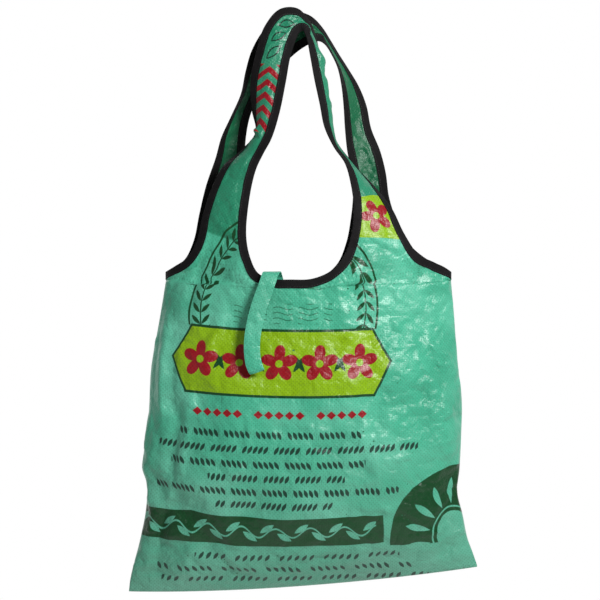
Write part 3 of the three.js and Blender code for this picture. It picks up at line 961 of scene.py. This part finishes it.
def add_stitches(name, lines, material):
    """A row of stitches near the end of each of the tape's two legs."""
    edge, tip, edge_normal, tip_normal, _ = lines
    share = STITCH_INSET / TAPE_WIDTH
    normal = unit(mix(tip_normal, edge_normal, share))
    row = mix(tip, edge, share)
    skins = [stitch_rings(row + side * TAPE_FAR * normal, side * normal) for side in (-1, 1)]
    rings = np.concatenate(skins)
    ids = np.arange(rings[..., 0].size).reshape(rings.shape[:3])
    here, ahead = ids[:, :-1], ids[:, 1:]
    walls = np.stack([here, np.roll(here, -1, 2), np.roll(ahead, -1, 2), ahead], axis=-1)
    faces = walls.reshape(-1, 4).tolist() + ids[:, 0, ::-1].tolist() + ids[:, -1].tolist()
    piece = add_piece(name, rings.reshape(-1, 3), faces, [material])
    return piece


# The closure tab


def tab_sheet():
    """The tab's middle surface: a crowned strip along its line, with small creases."""
    line = Curve(TAB_LINE, closed=False)
    share = np.linspace(0, 1, TAB_ROWS + 1)
    middle = line.at(share)
    tangent = unit(line.at(np.minimum(share + line.STEP, 1)) - line.at(np.maximum(share - line.STEP, 0)))
    across = flat_to(np.array([1.0, 0, 0]), tangent)
    outward = -np.cross(across, tangent)
    place = np.linspace(-1, 1, TAB_CELLS + 1)[:, None]
    grid = middle[:, None] + across[:, None] * place * TAB_WIDTH / 2
    grid = grid + outward[:, None] * TAB_CROWN * (1 - place**2)
    down = running(middle)[:, None] + 0 * grid[..., 0]
    places = np.stack([running(grid) - TAB_WIDTH / 2, -down], axis=-1)
    rng = np.random.default_rng(SEED + 1)
    fade = smoothstep(cells_in(TAB_ROWS + 1) / TAB_FADE_ROWS)[:, None]
    lift = creased(places, random_creases(rng, TAB_CRUMPLES)) * fade
    grid = grid + outward[:, None] * lift[..., None]
    sheet = Sheet([grid])
    sheet.add_grid(sheet.ids[0], np.concatenate([places, NOT_STRAP + 0 * places], axis=-1), True)
    sheet.close()
    return sheet


# Materials


class Field:
    """A number that varies over a surface, worked out by math nodes."""

    def __init__(self, tree, socket):
        self.tree = tree
        self.socket = socket

    def work(self, operation, *others):
        node = self.tree.nodes.new("ShaderNodeMath")
        node.operation = operation
        for value, slot in zip((self, *others), node.inputs):
            if isinstance(value, Field):
                self.tree.links.new(value.socket, slot)
            else:
                slot.default_value = value
        return Field(self.tree, node.outputs[0])

    def __add__(self, other):
        return self.work("ADD", other)

    def __sub__(self, other):
        return self.work("SUBTRACT", other)

    def __mul__(self, other):
        return self.work("MULTIPLY", other)

    def size(self):
        return self.work("ABSOLUTE")

    def least(self, other):
        return self.work("MINIMUM", other)

    def most(self, other):
        return self.work("MAXIMUM", other)

    def wrapped(self, span):
        return self.work("WRAP", span / 2, -span / 2)


class Paint:
    """A material in the making. What varies is laid over the values of its shader's own inputs."""

    def __init__(self, name, colour, roughness, others=None):
        """others holds more of the shader's inputs, by name."""
        self.material = bpy.data.materials.new(name)
        self.material.use_nodes = True
        self.tree = self.material.node_tree
        self.shader = self.tree.nodes["Principled BSDF"]
        constants = {"Base Color": linear(colour), "Roughness": roughness, **(others or {})}
        for input_name, value in constants.items():
            self.shader.inputs[input_name].default_value = value

    def node(self, kind, **settings):
        node = self.tree.nodes.new(kind)
        for key, value in settings.items():
            setattr(node, key, value)
        return node

    def join(self, source, target):
        self.tree.links.new(source.socket if isinstance(source, Field) else source, target)

    def passed_on(self, name, target):
        """Gives a node's input what the shader's input of that name has so far."""
        below = self.shader.inputs[name]
        if below.is_linked:
            self.join(below.links[0].from_socket, target)
        else:
            target.default_value = below.default_value
        return below

    def places(self, layer):
        """The two places of a layer, in millimetres."""
        split = self.node("ShaderNodeSeparateXYZ")
        self.join(self.node("ShaderNodeUVMap", uv_map=layer).outputs[0], split.inputs[0])
        return [Field(self.tree, split.outputs[k]) * (1 / MM) for k in range(2)]

    def noise(self, scale, detail):
        """Smooth noise from 0 to 1. scale is how many lumps there are in a metre."""
        node = self.node("ShaderNodeTexNoise")
        node.inputs["Scale"].default_value = scale
        node.inputs["Detail"].default_value = detail
        self.join(self.node("ShaderNodeTexCoord").outputs["Object"], node.inputs["Vector"])
        return Field(self.tree, node.outputs["Fac"])

    def paint(self, colour, cover):
        """Puts a colour where cover is 1, and leaves what was there where it is 0."""
        blend = self.node("ShaderNodeMix", data_type="RGBA", clamp_factor=True)
        self.join(cover, blend.inputs["Factor"])
        blend.inputs["B"].default_value = linear(colour)
        below = self.passed_on("Base Color", blend.inputs["A"])
        self.join(blend.outputs["Result"], below)

    def blotches(self, colour, scale, detail, start, gain):
        """Puts a colour where noise is over start, or under it if gain is negative."""
        self.paint(colour, (self.noise(scale, detail) - start) * gain)

    def shade(self, factor):
        """Makes the painted colour darker or lighter."""
        node = self.node("ShaderNodeVectorMath", operation="SCALE")
        self.join(factor, node.inputs["Scale"])
        self.join(node.outputs[0], self.passed_on("Base Color", node.inputs[0]))

    def roughen(self, change):
        """Adds a change that varies to the roughness."""
        node = self.node("ShaderNodeMath", operation="ADD")
        self.join(change, node.inputs[1])
        self.join(node.outputs[0], self.passed_on("Roughness", node.inputs[0]))

    def bump(self, height, distance, strength):
        """Adds relief. height is from 0 to 1, and distance is how deep that is in millimetres."""
        node = self.node("ShaderNodeBump")
        node.inputs["Strength"].default_value = strength
        node.inputs["Distance"].default_value = distance * MM
        self.join(height, node.inputs["Height"])
        self.join(node.outputs[0], self.passed_on("Normal", node.inputs["Normal"]))


def linear(colour):
    """A colour from 0 to 255 as Blender's linear colour."""
    return (*(((c / 255 + 0.055) / 1.055) ** 2.4 if c > 10 else c / 255 / 12.92 for c in colour), 1)


MINT = (66, 166, 134)
MINT_PALE = (118, 198, 172)
MINT_DEEP = (28, 124, 94)
MINT_GREYER = (92, 146, 126)
UPPER_GREEN = (12, 112, 78)
# The inside's two greens are painted shade: darker than the outer cloth because the sack's inside lies in
# shadow.
INSIDE_SHADE = (6, 96, 60)
INSIDE_SHADE_DEEP = (2, 70, 44)
DARK_GREEN = (0, 60, 24)
LIME = (128, 168, 0)
RED = (138, 0, 18)
DARK_INK = (2, 26, 16)
BLACK = (3, 2, 3)
BLACK_WORN = (20, 17, 19)
THREAD = (12, 10, 11)
FLOOR_WHITE = (236, 236, 234)


# Shapes to print. Each is a distance, below zero inside.

INK_EDGE = 0.7


def inside_shape(shape, soft=INK_EDGE):
    """1 where a shape's distance is below zero, 0 outside, and a soft edge between."""
    return (shape * (-1 / soft) + 0.5).most(0.0).least(1.0)


def joined(shapes):
    """One shape made of several."""
    whole, *others = shapes
    for shape in others:
        whole = whole.least(shape)
    return whole


def box(x, y, half_x, half_y):
    return (x.size() - half_x).most(y.size() - half_y)


def disc(x, y, radius):
    return (x * x + y * y).work("SQRT") - radius


def ring(x, y, radius, half_width):
    return disc(x, y, radius).size() - half_width


def leaf(x, y, half_length, half_width):
    """A pointed leaf along x."""
    return y.size() + x * x * (half_width / half_length**2) - half_width


def rotated(x, y, degrees):
    cos, sin = math.cos(math.radians(degrees)), math.sin(math.radians(degrees))
    return x * cos + y * sin, y * cos - x * sin


def polar(x, y, radius):
    """How far along a circle's line from its top, clockwise, and how far outside it."""
    return x.work("ARCTAN2", y) * radius, disc(x, y, radius)


def flower(x, y, petals, radius):
    """Rounded petals about an open middle."""
    angle = x.work("ARCTAN2", y)
    lobes = (angle * (petals / 2)).work("COSINE").size()
    reach = lobes * (radius * 0.55) + radius * 0.45
    petal = (x * x + y * y).work("SQRT") - reach
    return petal.most(disc(x, y, radius * 0.2) * -1)


def spray(x, y, radius, start, end):
    """A stem along a circle, with pairs of leaves. start and end are degrees from its top."""
    along, off = polar(x, y, radius)
    half = (end - start) / 2
    centred = along - math.radians(start + half) * radius
    stem = off.size() - SPRAY_STEM_HALF
    leaves = [
        leaf(*rotated(centred.wrapped(SPRAY_PITCH), off - side * SPRAY_OFF, side * SPRAY_TURN), *SPRAY_LEAF)
        for side in (1, -1)
    ]
    return joined([stem, *leaves]).most(centred.size() - math.radians(half) * radius)


def grain_rows(u, v, rows, tilt, pitch):
    """Rows of small grains with a gap after every few. Each row leans the other way."""
    shapes = []
    for count, (middle, height, half_width) in enumerate(rows):
        x, y = u - middle, v - height
        lean = tilt if count % 2 else -tilt
        grain = leaf(*rotated(x.wrapped(pitch), y, lean), *GRAIN)
        gaps = x.wrapped(pitch * GRAIN_GROUP).size() - pitch * GRAIN_GROUP_HALF
        shapes.append(grain.most(box(x, y, half_width, GRAIN[0])).most(gaps))
    return joined(shapes)


# The print, in millimetres on the flat cloth from the middle of the first row. A leaf, a ray and
# a grain are given by half their length and half their width, and turns are in degrees.

PRINT_MIDDLE = -32
# Above this the cloth is a darker green.
UPPER_EDGE = 52
UPPER_SOFT = 2.5
UPPER_COVER = 0.8
INK_COVER = 0.92
LOW_INK_COVER = 0.9

SPRAY_MIDDLE = (PRINT_MIDDLE, -20)
SPRAY_RADIUS = 112
SPRAY_SPANS = ((-118, -38), (62, 118))
SPRAY_STEM_HALF = 0.9
SPRAY_PITCH = 15
SPRAY_LEAF = (8.5, 2.6)
SPRAY_OFF = 6.5
SPRAY_TURN = 42
HOOP_RADIUS = 128
HOOP_HALF = 1.4
HOOP_BOTTOM = -50

RIPPLES = (PRINT_MIDDLE, -28)
RIPPLES_HALF = (66, 13)
RIPPLE_PITCH = 7
RIPPLE_HALF = 0.55
RIPPLE_RISE = 1.6
RIPPLE_BEND = 0.22
RIPPLE_DASH = (34, 13)
RIPPLE_SOFT = 0.9
RIPPLE_COVER = 0.8

PANEL = (PRINT_MIDDLE, -92)
PANEL_HALF = (146, 44)
PANEL_SLANT = 0.55
PANEL_RIM = 3.4
FLOWERS = 5
FLOWER_PITCH = 52
FLOWER_RADIUS = 24
FLOWER_LEAF = (13, 3.4)
FLOWER_LEAF_TURN = 55
PETALS = 5

LOZENGE_ROW = -158
LOZENGE_PITCH = 13
LOZENGE_HALF = 5.4
LOZENGE_SLANT = 0.9
# In lozenges: a group with its gap, and half the widths of a group and of the row.
LOZENGE_GROUP = 6
LOZENGE_GROUP_HALF = 2.5
LOZENGE_ROW_HALF = 9.5

# Each row of grains: its middle, its height and half its width.
GRAIN_ROWS = (
    (-44, -184, 116), (-20, -203, 166), (-46, -222, 124),
    (-34, -240, 86), (-36, -258, 160), (-36, -275, 76),
)
LOW_ROWS = ((-6, -349, 132), (-24, -369, 168), (-10, -387, 172))
GRAIN = (5.8, 2.3)
GRAIN_PITCH = 6.6
GRAIN_TILT = 62
LOW_PITCH = 9.5
LOW_TILT = -58
# How many grains a group takes up with its gap, and half the width of those that show.
GRAIN_GROUP = 6
GRAIN_GROUP_HALF = 2.6

BAND_TOP = -291
BAND_BOTTOM = -331
BAND_RIGHT = 106
VINE_PITCH = 44
VINE_SWING = 7
VINE_HALF = 1.2
VINE_LEAF = (11, 3.8)
VINE_LEAF_OFF = 6
VINE_LEAF_TURN = 35
# How far the vine stays from the band's ends and from its long edges.
VINE_INSET = (10, 3)

SUN = (206, -328)
SUN_RADIUS = 92
SUN_BELOW = 8
SUN_CORE = 30
SUN_RING = 36
SUN_RING_HALF = 1.1
RAY_RADIUS = 55
RAY_OUT = 2
RAY_PITCH = 24
RAY = (17, 4.4)

# How far along a handle the middle of each of its motifs is, and half its size along and across.
CHEVRONS_AT = 250
CHEVRONS_HALF = (46, 15)
CHEVRON_PITCH = 17
CHEVRON_HALF = 4.2
CHEVRON_SLANT = 0.8
OUTLINES_AT = 334
OUTLINES_HALF = (33, 16)
OUTLINE_PITCH = 22
OUTLINE_LEAF = (11, 4.6)
OUTLINE_HALF = 0.9
PATCH_AT = 656
PATCH_HALF = (27, 40)
PATCH_FLOWER = 21


def print_mouth(paint, u, v):
    """Leafy sprays that rise from the panel on each side of the mouth, and ripples below it."""
    x, y = u - SPRAY_MIDDLE[0], v - SPRAY_MIDDLE[1]
    sprays = [spray(x, y, SPRAY_RADIUS, *span) for span in SPRAY_SPANS]
    hoop = ring(x, y, HOOP_RADIUS, HOOP_HALF).most((v - HOOP_BOTTOM) * -1)
    paint.paint(DARK_GREEN, inside_shape(joined([*sprays, hoop])))
    x, y = u - RIPPLES[0], v - RIPPLES[1]
    ripple = (x * RIPPLE_BEND).work("SINE") * RIPPLE_RISE
    lines = (y + ripple).wrapped(RIPPLE_PITCH).size() - RIPPLE_HALF
    dash_pitch, dash_half = RIPPLE_DASH
    lines = lines.most(box(x, y, *RIPPLES_HALF)).most(x.wrapped(dash_pitch).size() - dash_half)
    paint.paint(DARK_GREEN, inside_shape(lines, RIPPLE_SOFT) * RIPPLE_COVER)


def print_panel(paint, u, v):
    """A lime panel with a dark rim and a row of red flowers, and red lozenges below it."""
    x, y = u - PANEL[0], v - PANEL[1]
    panel = (x.size() + y.size() * PANEL_SLANT - PANEL_HALF[0]).most(y.size() - PANEL_HALF[1])
    paint.paint(DARK_GREEN, inside_shape(panel))
    paint.paint(LIME, inside_shape(panel + PANEL_RIM))
    row = x.size() - FLOWERS * FLOWER_PITCH / 2
    between = (x + FLOWER_PITCH / 2).wrapped(FLOWER_PITCH)
    for degrees in (FLOWER_LEAF_TURN, -FLOWER_LEAF_TURN):
        green = leaf(*rotated(between, y, degrees), *FLOWER_LEAF).most(row + FLOWER_PITCH / 2)
        paint.paint(DARK_GREEN, inside_shape(green))
    blossom = flower(x.wrapped(FLOWER_PITCH), y, PETALS, FLOWER_RADIUS)
    paint.paint(RED, inside_shape(blossom.most(row)))
    x, y = u - PRINT_MIDDLE, v - LOZENGE_ROW
    lozenge = x.wrapped(LOZENGE_PITCH).size() * LOZENGE_SLANT + y.size() - LOZENGE_HALF
    row = x.size() - LOZENGE_PITCH * LOZENGE_ROW_HALF
    gaps = x.wrapped(LOZENGE_PITCH * LOZENGE_GROUP).size() - LOZENGE_PITCH * LOZENGE_GROUP_HALF
    paint.paint(RED, inside_shape(lozenge.most(row).most(gaps)))


def print_band(paint, u, v):
    """A dark band from the left side fold, with a vine left bare in it."""
    half_x, half_y = SACK_WIDTH / 2 + BAND_RIGHT, (BAND_TOP - BAND_BOTTOM) / 2
    x, y = u + SACK_WIDTH / 2, v - (BAND_TOP + BAND_BOTTOM) / 2
    wave = (u * (2 * math.pi / VINE_PITCH)).work("SINE") * VINE_SWING
    parts = [(y - wave).size() - VINE_HALF]
    for side, shift in ((1, 0), (-1, VINE_PITCH / 2)):
        place = (u + shift).wrapped(VINE_PITCH), y - side * VINE_LEAF_OFF
        parts.append(leaf(*rotated(*place, side * VINE_LEAF_TURN), *VINE_LEAF))
    vine = joined(parts).most(box(x, y, half_x - VINE_INSET[0], half_y - VINE_INSET[1]))
    paint.paint(DARK_GREEN, inside_shape(box(x, y, half_x, half_y).most(vine * -1)))


def print_sun(paint, u, v):
    """A dark half disc, with a rising sun and its rays left bare in it."""
    x, y = u - SUN[0], v - SUN[1]
    sky = disc(x, y, SUN_RADIUS).most(y * -1 - SUN_BELOW)
    along, off = polar(x, y, RAY_RADIUS)
    rays = leaf(off - RAY_OUT, along.wrapped(RAY_PITCH), *RAY)
    sun = joined([disc(x, y, SUN_CORE), rays, ring(x, y, SUN_RING, SUN_RING_HALF)])
    paint.paint(DARK_GREEN, inside_shape(sky.most(sun * -1)))


def print_face(paint, u, v):
    """The printed design of one face."""
    print_mouth(paint, u, v)
    print_panel(paint, u, v)
    grains = grain_rows(u, v, GRAIN_ROWS, GRAIN_TILT, GRAIN_PITCH)
    paint.paint(DARK_INK, inside_shape(grains) * INK_COVER)
    print_band(paint, u, v)
    print_sun(paint, u, v)
    grains = grain_rows(u, v, LOW_ROWS, LOW_TILT, LOW_PITCH)
    paint.paint(DARK_INK, inside_shape(grains) * LOW_INK_COVER)


def print_handles(paint, along, across):
    """Red chevrons, outlined leaves, and a lime patch with a red flower."""
    slant = along + across.size() * CHEVRON_SLANT
    chevrons = slant.wrapped(CHEVRON_PITCH).size() - CHEVRON_HALF
    chevrons = chevrons.most(box(along - CHEVRONS_AT, across, *CHEVRONS_HALF))
    paint.paint(RED, inside_shape(chevrons))
    x = along - OUTLINES_AT
    one = leaf(*rotated(x.wrapped(OUTLINE_PITCH), across, VINE_LEAF_TURN), *OUTLINE_LEAF)
    outlines = (one.size() - OUTLINE_HALF).most(box(x, across, *OUTLINES_HALF))
    paint.paint(DARK_INK, inside_shape(outlines))
    x = along - PATCH_AT
    paint.paint(LIME, inside_shape(box(x, across, *PATCH_HALF)))
    paint.paint(RED, inside_shape(flower(x, across, PETALS, PATCH_FLOWER)))


# The materials

WEAVE_PITCH = 2.4
WEAVE_DEPTH = 0.16
# The film's sharp creases: how many in a metre, and how deep in millimetres.
FILM_CREASES = ((24, 1.3), (52, 0.6))
# How far from its middle value the noise still slopes into a crease.
FILM_CREASE_REACH = 0.12
# Below this height the colour turns greyer towards the bottom, and more so over the second distance.
GREYER_TOP = -170
GREYER_FADE = 200
RIB_PITCH = 1.1


def woven(paint, u, v, strength):
    """The plain weave of flat strips, its thin film, and a satin gloss that varies, with painted shade
    between the strips and a painted sheen on the strips of one set.
    """
    # Each strip is lifted where it passes over the other set.
    column, row = u * (1 / WEAVE_PITCH), v * (1 / WEAVE_PITCH)
    over = ((column.work("FLOOR") + row.work("FLOOR")) * 0.5).work("FRACT") * 2
    across_u = (column.wrapped(1) * 2).work("POWER", 4)
    across_v = (row.wrapped(1) * 2).work("POWER", 4)
    strip_u = (across_u * -1 + 1) * over
    strip_v = (across_v * -1 + 1) * (over * -1 + 1)
    height = strip_u.most(strip_v)
    paint.bump(height, WEAVE_DEPTH, strength)
    for scale, depth in FILM_CREASES:
        crease = (paint.noise(scale, 3) - 0.5).size().least(FILM_CREASE_REACH)
        paint.bump(crease * (1 / FILM_CREASE_REACH), depth, 0.8)
    paint.bump(paint.noise(260, 3), 0.5, 0.35)
    paint.roughen((paint.noise(34, 3) - 0.5) * 0.22 + (height * -1 + 1) * 0.12)
    # Painted shade and sheen: the colour is darker where the strips dip between each other, and lighter on
    # the strips of one set, as if they caught more light.
    paint.shade((height * 0.34 + 0.7) * (over * 0.16 + 0.92))


def outer_cloth(name, printed):
    """The cloth's outer side, with or without its print."""
    paint = Paint(name, MINT, 0.36, {
        "Specular IOR Level": 0.35,
        "Coat Weight": 0.08,
        "Coat Roughness": 0.2,
    })
    u, v = paint.places("flat")
    paint.blotches(MINT_PALE, scale=9, detail=4, start=0.45, gain=2.2)
    paint.blotches(MINT_DEEP, scale=14, detail=3, start=0.5, gain=-1.8)
    # The colour turns greyer towards the bottom, in blotches of noise.
    greyer = ((v - GREYER_TOP) * (-1 / GREYER_FADE)).most(0.0)
    paint.paint(MINT_GREYER, greyer * (paint.noise(7, 3) + 0.1))
    if printed:
        upper = inside_shape((v - UPPER_EDGE) * -1, UPPER_SOFT)
        paint.paint(UPPER_GREEN, upper * UPPER_COVER)
        print_face(paint, u, v)
        print_handles(paint, *paint.places("strap"))
    woven(paint, u, v, 0.7)
    return paint.material


# The sack's inside in painted shade: its dark greens stand for the shadow inside the sack, with darker
# blotches at random.
def inside_cloth():
    paint = Paint("woven_cloth_inside_painted_shade", INSIDE_SHADE, 0.42, {"Specular IOR Level": 0.4})
    paint.blotches(INSIDE_SHADE_DEEP, scale=12, detail=4, start=0.4, gain=2)
    woven(paint, *paint.places("flat"), 0.6)
    return paint.material


def tape_cloth():
    """Black woven tape with fine ribs across it, paler where it is rubbed."""
    paint = Paint("woven_tape", BLACK, 0.72, {"Specular IOR Level": 0.2})
    along, across = paint.places("tape")
    paint.blotches(BLACK_WORN, scale=120, detail=4, start=0.5, gain=2.5)
    rib = (along * (2 * math.pi / RIB_PITCH)).work("SINE") * 0.5 + 0.5
    thread_across = (across * (2 * math.pi / (RIB_PITCH * 0.8))).work("SINE") * 0.5 + 0.5
    paint.paint(BLACK_WORN, rib * thread_across * 0.35)
    paint.bump(rib * thread_across, 0.22, 0.8)
    paint.bump(paint.noise(90, 3), 1.2, 0.4)
    paint.roughen((paint.noise(60, 2) - 0.5) * 0.2)
    return paint.material


def sewing_thread():
    paint = Paint("sewing_thread", THREAD, 0.5)
    paint.blotches(BLACK_WORN, scale=900, detail=2, start=0.5, gain=2)
    paint.bump(paint.noise(2500, 1), 0.1, 0.5)
    return paint.material


# The stage

CAMERA_PLACE = (-0.004, -1.9, -0.331)
CAMERA_LENS = 87.7
FLOOR_HEIGHT = -1.1
FLOOR_RADIUS = 1.5
FLOOR_SIDES = 96
# Each lamp's name, place, target, size and power.
LAMPS = (
    ("key", (0.8, -1.25, 0.4), (0.02, 0, -0.45), 0.4, 31),
    ("fill", (-1.6, -1.2, 0.0), (0, 0, -0.4), 1.2, 2.5),
    ("back", (-0.8, 1.5, 0.6), (0, 0, -0.4), 0.8, 12),
)
# The world's light, from one direction along Y to another: the directions, then the strengths.
WORLD_RANGE = (-0.3, 0.95, 0.17, 1.0)


def aimed(location, target):
    """The turn that points a lamp or a camera from one place at another."""
    return (Vector(target) - Vector(location)).to_track_quat("-Z", "Y").to_euler()


def add_lamp(name, location, target, size, power):
    lamp = bpy.data.lights.new(name, "AREA")
    lamp.size = size
    lamp.energy = power
    placed = bpy.data.objects.new(name, lamp)
    placed.location = location
    placed.rotation_euler = aimed(location, target)
    bpy.context.scene.collection.objects.link(placed)


def add_camera():
    camera = bpy.data.objects.new("camera", bpy.data.cameras.new("camera"))
    camera.data.lens = CAMERA_LENS
    camera.data.clip_start = 0.01
    camera.location = CAMERA_PLACE
    camera.rotation_euler = (math.pi / 2, 0, 0)
    bpy.context.scene.collection.objects.link(camera)
    bpy.context.scene.camera = camera


def add_stage():
    """A round white floor below the bag, and the lamps."""
    angles = np.linspace(0, 2 * math.pi, FLOOR_SIDES, endpoint=False)
    rim = np.stack([np.cos(angles), np.sin(angles), 0 * angles], axis=-1) * FLOOR_RADIUS
    mesh = bpy.data.meshes.new("floor")
    mesh.from_pydata((rim + np.array([0, 0, FLOOR_HEIGHT])).tolist(), [], [list(range(len(rim)))])
    mesh.materials.append(Paint("floor_finish", FLOOR_WHITE, 0.8).material)
    floor = bpy.data.objects.new("floor", mesh)
    bpy.context.scene.collection.objects.link(floor)
    bpy.context.scene.view_settings.view_transform = "Standard"
    for lamp in LAMPS:
        add_lamp(*lamp)


def add_world():
    """White behind the bag, and dimmer on the side that its front faces."""
    world = bpy.data.worlds.new("studio")
    world.use_nodes = True
    tree = world.node_tree
    split = tree.nodes.new("ShaderNodeSeparateXYZ")
    tree.links.new(tree.nodes.new("ShaderNodeTexCoord").outputs["Generated"], split.inputs[0])
    ramp = tree.nodes.new("ShaderNodeMapRange")
    ramp.interpolation_type = "SMOOTHSTEP"
    for name, value in zip(("From Min", "From Max", "To Min", "To Max"), WORLD_RANGE):
        ramp.inputs[name].default_value = value
    tree.links.new(split.outputs["Y"], ramp.inputs["Value"])
    background = tree.nodes["Background"]
    background.inputs["Color"].default_value = (1, 1, 1, 1)
    tree.links.new(ramp.outputs["Result"], background.inputs["Strength"])
    bpy.context.scene.world = world


# The pieces

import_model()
printed = outer_cloth("woven_cloth_printed", True)
bare = outer_cloth("woven_cloth_bare", False)
inside, tape, sewing = inside_cloth(), tape_cloth(), sewing_thread()

sack = make_sack()
sack_cloth = add_cloth("sack_cloth", sack, CLOTH_THICKNESS, [printed, inside])
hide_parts("sack")

rng = np.random.default_rng(SEED + 2)
front_ids, back_ids = sack.ids[0], sack.ids[2]
rims = {
    "mouth_binding_front": (front_ids[:-1, -1], front_ids[:-1, -2]),
    "mouth_binding_back": (back_ids[:-1, -1], back_ids[:-1, -2]),
    "outer_binding": tuple(np.concatenate([front_ids[:-1, k], back_ids[:0:-1, k]]) for k in (0, 1)),
}
for node, (edges, band_ends) in rims.items():
    lines = tape_lines(sack, edges, band_ends, rng)
    add_tape(f"{node}_tape", lines, tape, node)
    add_stitches(f"{node}_stitches", lines, sewing)

tab = add_cloth("closure_tab_cloth", tab_sheet(), TAB_THICKNESS, [bare, bare])
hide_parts("closure_tab")

add_camera()
add_stage()
add_world()
